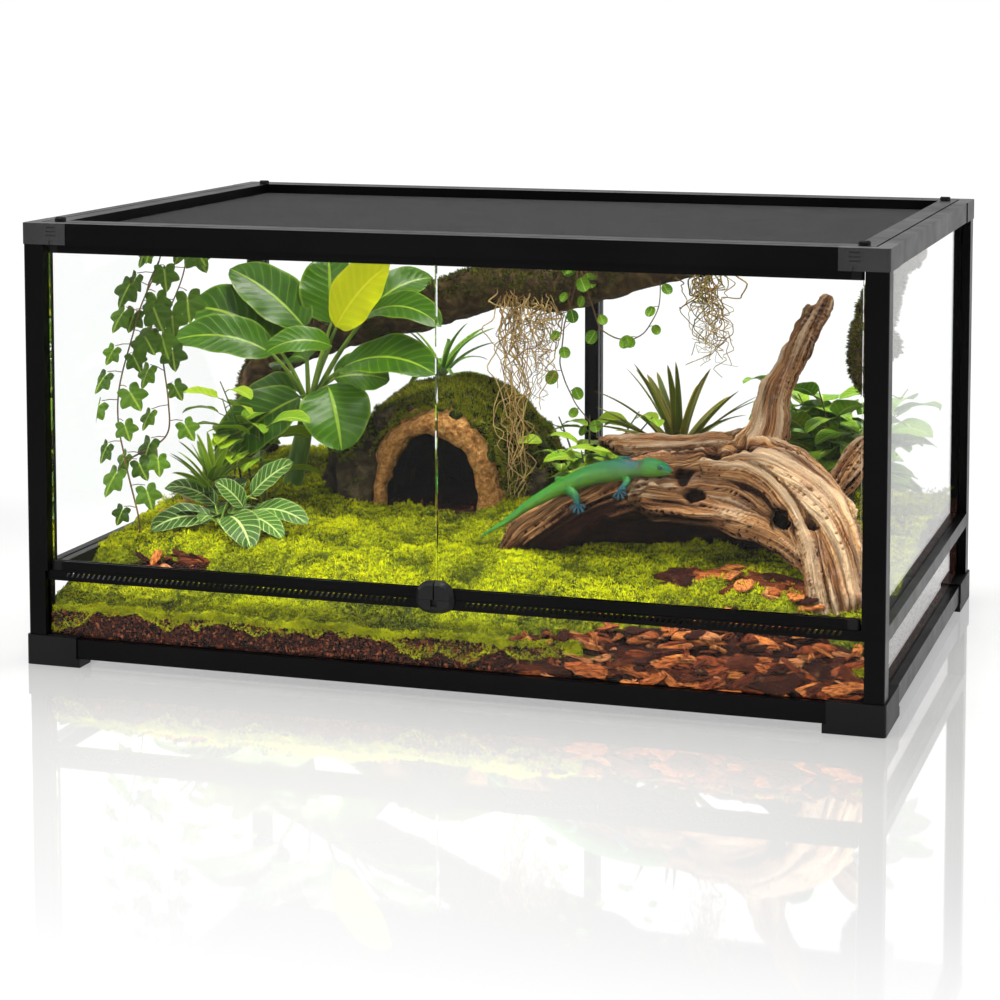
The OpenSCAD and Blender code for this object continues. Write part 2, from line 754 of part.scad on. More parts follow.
// Places of the root plugs: x, y and radius in the plan
broad_at = [-302, 58, 14];
veined_at = [-318, -112, 12];
striped_at = [-346, -72, 12];
grassy_at = [-172, 226, 9];
sprig_at = [60, 60, 9];
spiky_at = [152, 100, 18];
shrub_at = [325, 130, 14];
ivy_at = [-398, -150, 9];
plugs = [broad_at, veined_at, striped_at, grassy_at, sprig_at, spiky_at, shrub_at, ivy_at];

// ---------- planting: bed ----------

// Ground surface as a closed solid, `deep` below the moss surface, down to `low`; with
// `skin` set it is only that thick
module bed_field(deep, low, skin = 0) {
    nx = 14;
    ny = 10;
    edge_x = in_x - seat;
    front = door_y + glass_t / 2 + seat;
    back = in_y - seat;
    function at(i, j) = [-edge_x + 2 * edge_x * i / nx, front + (back - front) * j / ny];
    function high(p) = bed_z + stretch[2] * ground(p[0] / stretch[0], p[1] / stretch[1]) - deep;
    top = [for (j = [0 : ny], i = [0 : nx]) let (p = at(i, j)) [p[0], p[1], high(p)]];
    under = [for (p = top) [p[0], p[1], skin > 0 ? p[2] - skin : low]];
    n = len(top);
    m = nx + 1;
    cells = [for (j = [0 : ny - 1], i = [0 : nx - 1]) let (q = j * m + i)
        each [[q, q + m, q + 1], [q + 1, q + m, q + m + 1]]];
    rim = concat([for (i = [0 : nx - 1]) [i, i + 1]], [for (j = [0 : ny - 1])
        [nx + j * m, nx + (j + 1) * m]], [for (i = [nx : -1 : 1]) [ny * m + i, ny * m + i - 1]],
        [for (j = [ny : -1 : 1]) [j * m, (j - 1) * m]]);
    sides = [for (r = rim) each [[r[0], r[1], r[0] + n], [r[1], r[1] + n, r[0] + n]]];
    floor_cells = skin > 0 ? [for (f = cells) [f[0] + n, f[2] + n, f[1] + n]]
        : [[for (r = rim) r[0] + n]];
    polyhedron(concat(top, under), concat(cells, floor_cells, sides));
}

// Everything of the frame that stands inside the glass, with a small gap around it
module frame_room() {
    x = post_in_x - seat;
    y = post_in_y - seat;
    far = half_w + half_d;
    rail = foot_h + seat;
    for (side = [-1, 1]) {
        translate([side * (x + far / 2), 0, rail - 50]) cube([far, 2 * far, 100], center = true);
        translate([side * (x + far / 2), 0, rim_low - seat + far / 2])
            cube([far, 2 * far, far], center = true);
        for (back = [-1, 1])
            translate([side * (x + far / 2), back * (y + far / 2), 0])
                cube([far, far, 2 * far], center = true);
        translate([0, side * (y + far / 2), rail - 50]) cube([2 * far, far, 100], center = true);
    }
    translate([0, y + far / 2, rim_low - seat + far / 2]) cube([2 * far, far, far], center = true);
    translate([0, -fy + face_in + vent_d + seat - far / 2, vent_low - seat + far / 2])
        cube([2 * far, far, far], center = true);
}

module set_in_bed(grow) {
    driftwood_form(grow);
    cave_form(grow);
    for (p = plugs) plug(p[0], p[1], p[2], grow);
    branch_form(grow);
    bark_form(2 * grow);
}

module soil_bed_shape() {
    color("#5a3320") difference() {
        bed_field(moss_t + seat, floor_top + seat);
        frame_room();
        set_in_bed(seat);
    }
}

module moss_carpet_shape() {
    color("#8aa11c") difference() {
        bed_field(0, 0, moss_t);
        frame_room();
        set_in_bed(seat);
    }
}

// ---------- planting: bark, cave and wood ----------

// Loose pieces: x, y, heading, length, width and tilt in the plan
bark_at = [[235, -222, 15, 72, 34, 6], [292, -226, -10, 64, 32, -5], [348, -228, 20, 50, 32, 8],
    [262, -256, 5, 62, 24, -4], [322, -262, -20, 44, 26, 5], [205, -262, 30, 36, 22, -8],
    [378, -266, 10, 38, 22, 6], [240, -280, 25, 38, 14, -6], [152, -280, -15, 40, 16, 7],
    [406, -276, -20, 36, 16, 6], [-312, -196, 20, 46, 18, 8], [-352, -214, -15, 34, 16, 6]];

module bark_form(grow) {
    for (b = bark_at) {
        p = plan(on_moss(b[0], b[1], 1));
        l = b[3] / 2 + grow;
        w = b[4] / 2 + grow;
        slope = [for (d = [[10, 0], [0, 10]]) atan((ground(b[0] + d[0], b[1] + d[1])
            - ground(b[0] - d[0], b[1] - d[1])) / 20)];
        translate(p) rotate([slope[1], -slope[0], 0]) rotate([b[5], -b[5] / 2, b[2]]) hull() {
            translate([0, 0, -2.5 - grow]) linear_extrude(0.1)
                polygon([[-l, -w * 0.3], [-l * 0.5, -w], [l * 0.6, -w * 0.8], [l, 0],
                    [l * 0.7, w], [-l * 0.6, w * 0.8]]);
            translate([0, 0, 2.4 + grow]) linear_extrude(0.1)
                polygon([[-l * 0.9, 0], [-l * 0.4, -w * 0.7], [l * 0.5, -w * 0.6],
                    [l * 0.9, w * 0.2], [l * 0.3, w * 0.8], [-l * 0.6, w * 0.6]]);
        }
    }
}

module bark_pieces_shape() {
    color("#8f4a2c") difference() {
        bark_form(0);
        driftwood_form(seat);
    }
}

// Arch outline of the cave in X and Z, standing on its base
module arch(r, h) {
    polygon([for (a = [0 : 15 : 180]) [r * cos(a), h * pow(sin(a), 0.8)]]);
}

cave_at = [-120, 40]; // middle of the mouth in the plan
cave_sink = 6; // base of the cave below the moss in front of it
// Stations of the mound behind the mouth: distance back, half width, height
cave_mound = [[0, 80, 112], [40, 112, 132], [105, 126, 138], [165, 84, 92]];
mouth_r = 53;
mouth_h = 90;

module cave_place() {
    base = plan(on_moss(cave_at[0], cave_at[1], -cave_sink));
    translate(base) children();
}

module arch_slab(back, r, h, thick = 1) {
    translate([0, back + thick, 0]) rotate([90, 0, 0]) linear_extrude(thick) arch(r, h);
}

// Lumps beside the mound: x, y, z and radius from the middle of the mouth
cave_lumps = [[-92, 34, 34, 48], [-116, 52, 16, 40], [-132, 40, 4, 24], [-84, 8, 10, 28],
    [112, 66, 24, 46], [138, 84, 6, 34]];

module cave_form(grow) {
    cave_place() intersection() {
        union() {
            for (i = [0 : len(cave_mound) - 2]) hull() {
                arch_slab(cave_mound[i][0] - (i == 0 ? grow : 0), cave_mound[i][1] + grow,
                    cave_mound[i][2] + grow);
                arch_slab(cave_mound[i + 1][0] + grow, cave_mound[i + 1][1] + grow,
                    cave_mound[i + 1][2] + grow);
            }
            for (l = cave_lumps) hull() {
                translate([l[0], l[1], l[2]]) sphere(l[3] + grow, $fn = 8);
                translate([l[0] * 0.5, l[1] + 30, l[2] + 12]) sphere(l[3] + grow, $fn = 8);
            }
            cave_rim(grow);
        }
        translate([0, 80, 250]) cube([600, 600, 500], center = true);
    }
}

// Rough cork rim around the mouth
module cave_rim(grow) {
    r = (mouth_r + cave_mound[0][1]) / 2;
    h = (mouth_h + cave_mound[0][2]) / 2 + 2;
    bead = cave_wall * 0.62;
    for (a = [0 : 20 : 160]) hull() {
        translate([r * cos(a), 0, h * pow(sin(a), 0.8)]) sphere(bead + grow, $fn = 8);
        translate([r * cos(a + 20), 0, h * pow(sin(a + 20), 0.8)])
            sphere(bead + grow, $fn = 8);
    }
}

module cork_cave_shape() {
    color("#6b5a33") difference() {
        cave_form(0);
        cave_place() {
            hull() {
                translate([0, 0, -1]) arch_slab(-40, mouth_r, mouth_h);
                translate([0, 0, -1]) arch_slab(20, mouth_r, mouth_h);
            }
            hull() {
                translate([0, 0, -1]) arch_slab(19, mouth_r, mouth_h);
                translate([0, 0, -1]) arch_slab(60, cave_mound[1][1] - cave_wall * 1.6,
                    cave_mound[1][2] - cave_wall * 1.6);
                translate([0, 0, -1]) arch_slab(110, cave_mound[2][1] - cave_wall * 1.6,
                    cave_mound[2][2] - cave_wall * 1.8);
            }
        }
    }
}

// Driftwood: main trunk from its left tip over the arch to the foot at the right
trunk = [[12, -90, 50, 12], [40, -90, 68, 21], [70, -86, 84, 25], [100, -82, 100, 27],
    [156, -75, 122, 30], [200, -75, 134, 30], [244, -78, 142, 31], [290, -84, 150, 33],
    [330, -100, 136, 31], [362, -122, 110, 28], [380, -145, 76, 27], [388, -162, 32, 29]];
// Splintered crest that points left behind the crown
crest = [[250, -66, 160, 22], [190, -56, 158, 16], [140, -52, 160, 12], [110, -52, 166, 5]];
// Lower fork that comes down beside the foot
fork = [[180, -96, 116, 20], [229, -108, 112, 18], [272, -124, 104, 15], [314, -142, 92, 12],
    [346, -160, 74, 10], [366, -168, 52, 9]];
tall = [[268, -68, 150, 32], [288, -60, 186, 22], [294, -52, 219, 17], [304, -46, 247, 14],
    [324, -36, 288, 12], [342, -30, 322, 8]];
prong = [[310, -41, 262, 11], [320, -33, 300, 8], [324, -30, 318, 5]];
stub = [[345, -110, 120, 20], [366, -92, 134, 15], [392, -70, 176, 11]];
// Hollow back of the log, in the shade under the arch
heel = [[74, -66, 70, 20], [140, -8, 66, 26], [220, 0, 74, 30], [300, -20, 84, 28],
    [340, -88, 104, 24]];

module driftwood_form(grow) {
    limbs(trunk, grow, 9);
    limbs(crest, grow, 7);
    limbs(fork, grow, 7);
    limbs(tall, grow, 8);
    limbs(prong, grow, 7);
    limbs(stub, grow, 7);
    limbs(heel, grow, 7);
}

module driftwood_shape() {
    color(wood_tan) driftwood_form(0);
}

// Mossy branch that climbs from the back left corner under the lid
climber = [[-398, 190, 36, 20], [-400, 188, 120, 22], [-385, 184, 196, 24],
    [-284, 170, 246, 25], [-178, 150, 275, 26], [-69, 132, 308, 24], [2, 124, 307, 23],
    [63, 118, 321, 21], [110, 114, 334, 17], [170, 110, 344, 14], [205, 110, 350, 7]];

module branch_form(grow) {
    limbs(climber, grow, 8);
}

// Hanging root bundles: top, foot, spread at top and foot, and count of roots
root_bundles = [[[-62, 130, 306], [-22, -6, 72], 24, 12, 5],
    [[-12, 126, 306], [-6, 60, 190], 20, 12, 3], [[176, 110, 343], [194, 104, 222], 12, 22, 5]];

// Mossy stick hung under the right top rail
hook_r = 10;
hook_reach = hook_r * cos(22.5); // half width of its eight-sided ball
hook = [(in_x - seat - hook_reach) / stretch[0], 8,
    (top_low - seat - hook_reach - bed_z) / stretch[2], hook_r];
stick = [hook, [404, 6, 352, 13], [388, 2, 300, 18], [382, 0, 258, 18], [380, 0, 232, 10]];

module root_bundle(b) {
    count = b[4];
    for (k = [0 : count - 1]) {
        turn = 137 * k;
        reach = 0.62 + 0.38 * ((k * 5) % count) / count;
        path = [for (i = [0 : 4]) let (s = i / 4 * reach, wide = b[2] + (b[3] - b[2]) * s)
            b[0] * (1 - s) + b[1] * s + wide * [0.6 * cos(turn) + 0.4 * sin(300 * s + turn),
                min(1, 0.2 + 2 * s) * (0.5 * sin(turn) + 0.3 * sin(260 * s + 2 * turn)), 0]];
        strand(path, 1.8, 0.8, 3);
    }
}

module mossy_branches_shape() {
    color("#5d5a1e") {
        limbs(climber, 0, 8);
        difference() {
            for (b = root_bundles) root_bundle(b);
            cave_form(seat);
        }
        limbs(stick, 0, 8);
        limbs([[386, 1, 290, 16], [404, 20, 268, 9]], 0, 7);
    }
}

// ---------- planting: plants ----------

// Hanging ivy: three strands between the bed and the top of the left side
ivy_main = [[-398, -150, 38, 2], [-397, -150, 66, 2], [-414, -150, 132, 2],
    [-421, -150, 199, 2], [-397, -150, 290, 2], [-371, -150, 355, 2], [-360, -148, 382, 2]];
ivy_second = [[-414, -142, 132, 2], [-372, -132, 160, 2], [-371, -130, 198, 2],
    [-376, -130, 277, 2], [-350, -132, 340, 2], [-344, -136, 378, 2]];
ivy_bridge = [[-360, -148, 382, 2], [-344, -136, 378, 2], [-320, -134, 380, 2]];
// Creeper with round leaves over the climbing branch
creeper = [[34, 100, 340, 1.6], [28, 96, 300, 1.6], [19, 95, 262, 1.6], [16, 95, 220, 1.6],
    [30, 92, 186, 1.6], [54, 88, 158, 1.6]];
creeper_loop = [[34, 100, 340, 1.6], [52, 95, 292, 1.6], [68, 92, 262, 1.6],
    [100, 90, 258, 1.6], [126, 92, 282, 1.6], [134, 96, 326, 1.6]];

// Leaves along a strand, turned to alternate sides
module strand_leaves(path, per, size, shape, seed, first = 0) {
    for (i = [first : len(path) - 2], k = [0 : per - 1]) {
        t = (k + 0.5) / per;
        p = plan(path[i] * (1 - t) + path[i + 1] * t);
        turn = rands(0, 360, 1, seed + 10 * i + k)[0];
        leaf(p, turn, -10, -50, size, size * shape, roll = 20 * cos(turn), parts = 2,
            full = 0.6);
    }
}

module hanging_vines_shape() {
    color(leaf_green) {
        limbs(ivy_main, 0, 4);
        limbs(ivy_second, 0, 4);
        limbs(ivy_bridge, 0, 4);
        strand_leaves(ivy_main, 2, 32, 0.95, 3, first = 1);
        strand_leaves(ivy_second, 2, 32, 0.95, 40);
        plug(ivy_at[0], ivy_at[1], ivy_at[2]);
        difference() {
            union() {
                limbs(creeper, 0, 4);
                limbs(creeper_loop, 0, 4);
                strand_leaves(creeper, 1, 20, 0.9, 80);
                strand_leaves(creeper_loop, 1, 20, 0.9, 95);
            }
            branch_form(seat);
        }
    }
}

// Big leaves: foot and tip in the plan, width, sag in degrees and roll
broad_crown = [-282, 66, 166];
broad_leaves = [[[-288, 70, 258], [-384, 78, 322], 46, 14, -10],
    [[-263, 90, 262], [-279, 122, 338], 50, 12, 0], [[-245, 60, 262], [-172, 38, 338], 46, 14, 10],
    [[-214, 70, 274], [-108, 28, 272], 32, 34, 10], [[-216, 98, 280], [-160, 150, 312], 34, 24, 0],
    [[-318, 60, 236], [-424, 50, 278], 58, 26, -12], [[-314, 36, 230], [-422, 4, 246], 40, 26, -10],
    [[-244, 40, 243], [-306, 0, 238], 26, 30, 0], [[-234, 48, 216], [-104, -4, 222], 46, 26, 10],
    [[-247, 38, 196], [-214, -6, 132], 56, 18, 0], [[-281, 36, 182], [-352, -26, 112], 50, 20, -8],
    [[-298, 70, 184], [-376, 74, 142], 44, 24, 0], [[-262, 96, 196], [-206, 126, 192], 40, 20, 0],
    [[-300, 104, 214], [-352, 150, 196], 42, 30, 0]];

// Leaf between two plan points: it leaves its foot `sag` degrees above the straight
// line and reaches its tip as far below it
module leaf_to(a, b, width, sag, roll = 0, parts = 5) {
    p = plan(a);
    v = plan(b) - p;
    slope = atan2(v[2], norm([v[0], v[1]]));
    leaf(p, atan2(v[1], v[0]), slope + sag, slope - sag, norm(v) * (1 + sag / 400), width,
        roll = roll, fold = 0.2, parts = parts);
}

module broadleaf_plant_shape() {
    root = plan(on_moss(broad_at[0], broad_at[1]));
    crown = plan(broad_crown);
    color(leaf_green) {
        plug(broad_at[0], broad_at[1], broad_at[2]);
        stem(root, crown, 9, 11);
        for (f = broad_leaves) {
            foot_of = plan(f[0]);
            stem(crown, foot_of, 4, 2);
            leaf_to(f[0], f[1], f[2], f[3], f[4]);
        }
    }
}

// Tapered stem between two real points
module stem(a, b, r0, r1) {
    hull() {
        translate(a) sphere(r0, $fn = 5);
        translate(b) sphere(r1, $fn = 5);
    }
}

// Tuft of stemmed leaves around a plug: count, stem length and lean, leaf size and droop
module tuft(at, count, stem_l, lean, length, width, droop, seed, first = 0, arc = 360) {
    root = plan(on_moss(at[0], at[1]));
    plug(at[0], at[1], at[2]);
    for (k = [0 : count - 1]) {
        yaw = first + arc * k / count + rands(-12, 12, 1, seed + k)[0];
        a = lean + rands(-10, 10, 1, seed + 50 + k)[0];
        tip = root + stem_l * [cos(a) * cos(yaw), cos(a) * sin(yaw), sin(a)];
        stem(root, tip, 3, 1.5);
        leaf(tip, yaw, a * 0.6, a * 0.6 - droop, length, width, fold = 0.2, parts = 3);
    }
}

// Blades that fan out from a lifted crown, from pitch `low` to pitch `high`
module fan(at, lift, count, length, width, low, high, droop, seed) {
    root = plan(on_moss(at[0], at[1]));
    crown = root + [0, 0, lift];
    plug(at[0], at[1], at[2]);
    stem(root, crown, 7, 8);
    for (k = [0 : count - 1]) {
        a = low + (high - low) * ((k * 5) % count) / count;
        yaw = 137.5 * k + rands(-10, 10, 1, seed + k)[0];
        out = 4 * [cos(a) * cos(yaw), cos(a) * sin(yaw), sin(a)];
        leaf(crown + out, yaw, a, a - droop, length * (0.8 + 0.3 * sin(a)), width,
            fold = 0.3, parts = 2, full = 0.5);
    }
}

veined_leaves = [[[-326, -115, 66], [-382, -150, 56], 30, 30], [[-299, -130, 74],
    [-258, -166, 48], 34, 34], [[-286, -96, 92], [-242, -84, 128], 30, 14], [[-292, -106, 80],
    [-320, -116, 108], 26, 16], [[-280, -106, 76], [-212, -118, 68], 26, 26], [[-284, -118, 72],
    [-228, -150, 58], 22, 24], [[-330, -96, 78], [-392, -92, 92], 24, 30], [[-318, -86, 84],
    [-330, -34, 96], 26, 26]];

module low_plants_shape() {
    veined_root = plan(on_moss(veined_at[0], veined_at[1]));
    color("#6d8f5a") difference() {
        union() {
            plug(veined_at[0], veined_at[1], veined_at[2]);
            for (f = veined_leaves) {
                foot_of = plan(f[0]);
                stem(veined_root, foot_of, 3, 1.5);
                leaf_to(f[0], f[1], f[2], f[3], parts = 3);
            }
            fan(striped_at, 30, 8, 54, 14, 14, 84, 20, 25);
            tuft(sprig_at, 6, 40, 58, 34, 20, 40, 60);
            fan(grassy_at, 112, 8, 58, 12, 25, 80, 50, 90);
        }
        cave_form(seat);
    }
}

module back_plants_shape() {
    color("#55702a") {
        fan(spiky_at, 60, 13, 98, 14, 12, 84, 18, 120);
        tuft(shrub_at, 8, 110, 62, 56, 34, 40, 150);
        tuft(shrub_at, 6, 66, 48, 52, 30, 34, 170);
    }
}

// ---------- gecko ----------

spine = [[-10, -118, 68, 1.5], [18, -116, 86, 4], [45, -114, 106, 6.5], [80, -108, 126, 9],
    [112, -104, 139, 11], [146, -104, 146, 11], [163, -104, 148, 8.5], [176, -105, 149, 10],
    [190, -107, 148, 6]];
legs = [[[146, -108, 142, 4.5], [150, -120, 134, 3.6], [143, -124, 126, 3]],
    [[140, -98, 146, 4.5], [132, -84, 152, 3.4], [140, -76, 152, 3]],
    [[84, -112, 124, 5], [94, -122, 118, 4], [98, -124, 108, 3]],
    [[80, -102, 128, 5], [66, -90, 126, 4], [72, -80, 124, 3]]];

module gecko_shape() {
    color("#2f8f72") difference() {
        union() {
            limbs(spine, 0, 8);
            for (l = legs) limbs(l, 0, 6);
            for (l = legs) translate(plan(l[2])) hull() for (a = [-40, 0, 40])
                rotate([0, 30, a]) translate([4, 0, 0]) sphere(1.8, $fn = 4);
        }
        driftwood_form(seat);
    }
}

// ---------- pieces ----------

module foot_front_left() { corner(-1, -1) foot(true); }
module foot_front_right() { corner(1, -1) foot(true); }
module foot_back_left() { corner(-1, 1) foot(false); }
module foot_back_right() { corner(1, 1) foot(false); }

module base_rail_front() { color(frame_black) bar_x(tank_w - 2 * foot_x) base_section(door_in); }
module base_rail_back() {
    color(frame_black) bar_x(tank_w - 2 * foot_x, back = true) base_section(glass_in);
}
module base_rail_left() { color(frame_black) bar_y(tank_d - 2 * foot_y) base_section(glass_in); }
module base_rail_right() {
    color(frame_black) bar_y(tank_d - 2 * foot_y, right = true) base_section(glass_in);
}
module floor_pane() { floor_pane_shape(); }
module lower_posts() {
    color(frame_black) for (sx = [-1, 1], sy = [-1, 1]) corner(sx, sy) lower_post(sy < 0);
}
module tub_panes() { tub_panes_shape(); }
module rim_rail_left() { color(frame_black) bar_y(2 * post_in_y) rim_section(); }
module rim_rail_right() { color(frame_black) bar_y(2 * post_in_y, right = true) rim_section(); }
module rim_rail_back() { color(frame_black) bar_x(2 * post_in_x, back = true) rim_section(); }
module vent_strip() { vent_strip_shape(); }

module post_front_left() { corner(-1, -1) upper_post(true); }
module post_front_right() { corner(1, -1) upper_post(true); }
module post_back_left() { corner(-1, 1) upper_post(false); }
module post_back_right() { corner(1, 1) upper_post(false); }
module post_back_centre() { back_post_shape(); }
module side_pane_left() { corner(-1, 1) side_pane(); }
module side_pane_right() { side_pane(); }
module back_pane_left() { corner(-1, 1) back_pane(); }
module back_pane_right() { back_pane(); }

module top_rail_front() { color(frame_black) bar_x(2 * (fx - conn_x)) top_section(true); }
module top_rail_back() {
    color(frame_black) bar_x(2 * (fx - conn_x), back = true) top_section(false);
}
module top_rail_left() { color(frame_black) bar_y(2 * (fy - conn_y)) top_section(false); }
module top_rail_right() {
    color(frame_black) bar_y(2 * (fy - conn_y), right = true) top_section(false);
}
module connector_front_left() { corner(-1, -1) connector(true); }
module connector_front_right() { corner(1, -1) connector(true); }
module connector_back_left() { corner(-1, 1) connector(false); }
module connector_back_right() { corner(1, 1) connector(false); }

module hinge_bushes() { hinge_bushes_shape(); }
module lock_housing() { lock_housing_shape(); }
module lock_bolt() { lock_bolt_shape(); }
module left_door_glass() { mirror([1, 0, 0]) door_glass(); }
module left_door_strips() { mirror([1, 0, 0]) door_strips(); }
module left_door_caps() { mirror([1, 0, 0]) door_caps(); }
module left_door_pull() { mirror([1, 0, 0]) door_pull(); }
module right_door_glass() { door_glass(); }
module right_door_strips() { door_strips(); }
module right_door_caps() { door_caps(); }
module right_door_pull() { door_pull(); }

module lid_frame() { lid_frame_shape(); }
module lid_screen() { lid_screen_shape(); }
module lid_lock_front_left() { corner(-1, -1) lid_lock(); }
module lid_lock_front_right() { corner(1, -1) lid_lock(); }
module lid_lock_back_left() { corner(-1, 1) lid_lock(); }
module lid_lock_back_right() { corner(1, 1) lid_lock(); }

module soil_bed() { soil_bed_shape(); }
module moss_carpet() { moss_carpet_shape(); }
module bark_pieces() { bark_pieces_shape(); }
module cork_cave() { cork_cave_shape(); }
module driftwood() { driftwood_shape(); }
module mossy_branches() { mossy_branches_shape(); }
module hanging_vines() { hanging_vines_shape(); }
module broadleaf_plant() { broadleaf_plant_shape(); }
module low_plants() { low_plants_shape(); }
module back_plants() { back_plants_shape(); }
module gecko() { gecko_shape(); }

foot_front_left();
foot_front_right();
foot_back_left();
foot_back_right();
base_rail_front();
base_rail_back();
base_rail_left();
base_rail_right();
floor_pane();
lower_posts();
tub_panes();
rim_rail_left();
rim_rail_right();
rim_rail_back();
vent_strip();
post_front_left();
post_front_right();
post_back_left();
post_back_right();
post_back_centre();
side_pane_left();
side_pane_right();
back_pane_left();
back_pane_right();
top_rail_front();
top_rail_back();
top_rail_left();
top_rail_right();
connector_front_left();
connector_front_right();
connector_back_left();
connector_back_right();
hinge_bushes();
lock_housing();
lock_bolt();
left_door_glass();
left_door_strips();
left_door_caps();
left_door_pull();
right_door_glass();
right_door_strips();
right_door_caps();
right_door_pull();
lid_frame();
lid_screen();
lid_lock_front_left();
lid_lock_front_right();
lid_lock_back_left();
lid_lock_back_right();
soil_bed();
moss_carpet();
bark_pieces();
cork_cave();
driftwood();
mossy_branches();
hanging_vines();
broadleaf_plant();
low_plants();
back_plants();
gecko();
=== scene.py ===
"""Glass terrarium planted as a rainforest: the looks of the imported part."""
import math
import bpy
import numpy as np
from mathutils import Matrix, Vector


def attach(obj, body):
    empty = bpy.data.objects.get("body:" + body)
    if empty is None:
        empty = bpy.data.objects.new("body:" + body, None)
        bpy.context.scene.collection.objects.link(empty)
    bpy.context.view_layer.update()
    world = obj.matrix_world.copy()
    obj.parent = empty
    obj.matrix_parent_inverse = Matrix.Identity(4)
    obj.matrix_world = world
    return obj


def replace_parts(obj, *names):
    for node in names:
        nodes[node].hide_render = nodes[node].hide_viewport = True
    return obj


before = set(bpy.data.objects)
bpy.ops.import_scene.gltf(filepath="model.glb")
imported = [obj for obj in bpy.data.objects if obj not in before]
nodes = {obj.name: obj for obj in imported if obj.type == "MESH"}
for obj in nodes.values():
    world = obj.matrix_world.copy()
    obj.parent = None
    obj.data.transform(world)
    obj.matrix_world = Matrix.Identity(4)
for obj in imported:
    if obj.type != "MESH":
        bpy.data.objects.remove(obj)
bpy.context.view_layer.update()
rng = np.random.default_rng(11)
TAU = 2 * math.pi
GOLDEN = 137.5
# Room between the panes: no piece of the planting leaves it
INSIDE = ((-0.4428, -0.2917, 0.0), (0.4428, 0.2912, 0.4482))


# ---------- numbers ----------

def pack(*parts):
    """Numbers or arrays side by side as the last axis."""
    return np.stack(np.broadcast_arrays(*parts), -1)


def metres(*parts):
    """Millimetres side by side, as metres."""
    return pack(*parts) / 1000


def join(*parts):
    return np.concatenate(parts)


def lattice(i, j, k, seed):
    """A fixed random number from -1 to 1 for each place of a grid."""
    n = (i * 73856093) ^ (j * 19349663) ^ (k * 83492791) ^ (seed * 97531 + 12345)
    n = ((n ^ (n >> 13)) * 1274126177) & 0xFFFFFFFF
    return ((n ^ (n >> 16)) & 0xFFFF) / 32767.5 - 1


def noise(p, seed=0):
    """Smooth noise from -1 to 1 at points p (n, 3)."""
    p = np.asarray(p, float)
    base = np.floor(p)
    f = p - base
    i = base.astype(np.int64)
    u = f * f * (3 - 2 * f)
    out = 0.0
    for a, b, c in np.ndindex(2, 2, 2):
        w = np.abs(1 - a - u[..., 0]) * np.abs(1 - b - u[..., 1]) * np.abs(1 - c - u[..., 2])
        out = out + w * lattice(i[..., 0] + a, i[..., 1] + b, i[..., 2] + c, seed)
    return out


def fbm(p, octaves, seed=0):
    """Sum of noises, each twice as fine and half as strong as the last."""
    total, size = 0.0, 1.0
    for o in range(octaves):
        total = total + size * noise(p * 2.03 ** o + 7.1 * o, seed + o)
        size *= 0.5
    return total


def smooth(t, a=0.0, b=1.0):
    t = np.clip((np.asarray(t, float) - a) / (b - a), 0, 1)
    return t * t * (3 - 2 * t)


def unit(v):
    v = np.asarray(v, float)
    return v / np.maximum(np.linalg.norm(v, axis=-1, keepdims=True), 1e-9)


def way(yaw, pitch=0.0):
    """Direction of two angles in radians."""
    return pack(np.cos(pitch) * np.cos(yaw), np.cos(pitch) * np.sin(yaw), np.sin(pitch))


def ring_of(count):
    """Angles evenly round a circle."""
    return np.arange(count) / count * TAU


def run_of(path):
    """Distance along a path at each of its points."""
    return join([0], np.cumsum(np.linalg.norm(np.diff(path, axis=0), axis=1)))


# ---------- meshes ----------

def grid_faces(nu, nv, wrap=False):
    """Quads of a grid with nu points a row and nv rows; wrap closes the rows."""
    cols = nu if wrap else nu - 1
    j, i = np.meshgrid(np.arange(nv - 1), np.arange(cols), indexing="ij")
    a = (j * nu + i).ravel()
    b = (j * nu + (i + 1) % nu).ravel()
    return pack(a, b, b + nu, a + nu)


def sphere(rows, sides):
    """Points and faces of a unit ball."""
    th, ph = np.meshgrid(np.linspace(0, math.pi, rows), ring_of(sides), indexing="ij")
    points = pack(np.sin(th) * np.cos(ph), np.sin(th) * np.sin(ph), np.cos(th))
    return points.reshape(-1, 3), grid_faces(sides, rows, True)


def put(target, key, values, kind=np.float32):
    target.foreach_set(key, values.astype(kind).ravel())


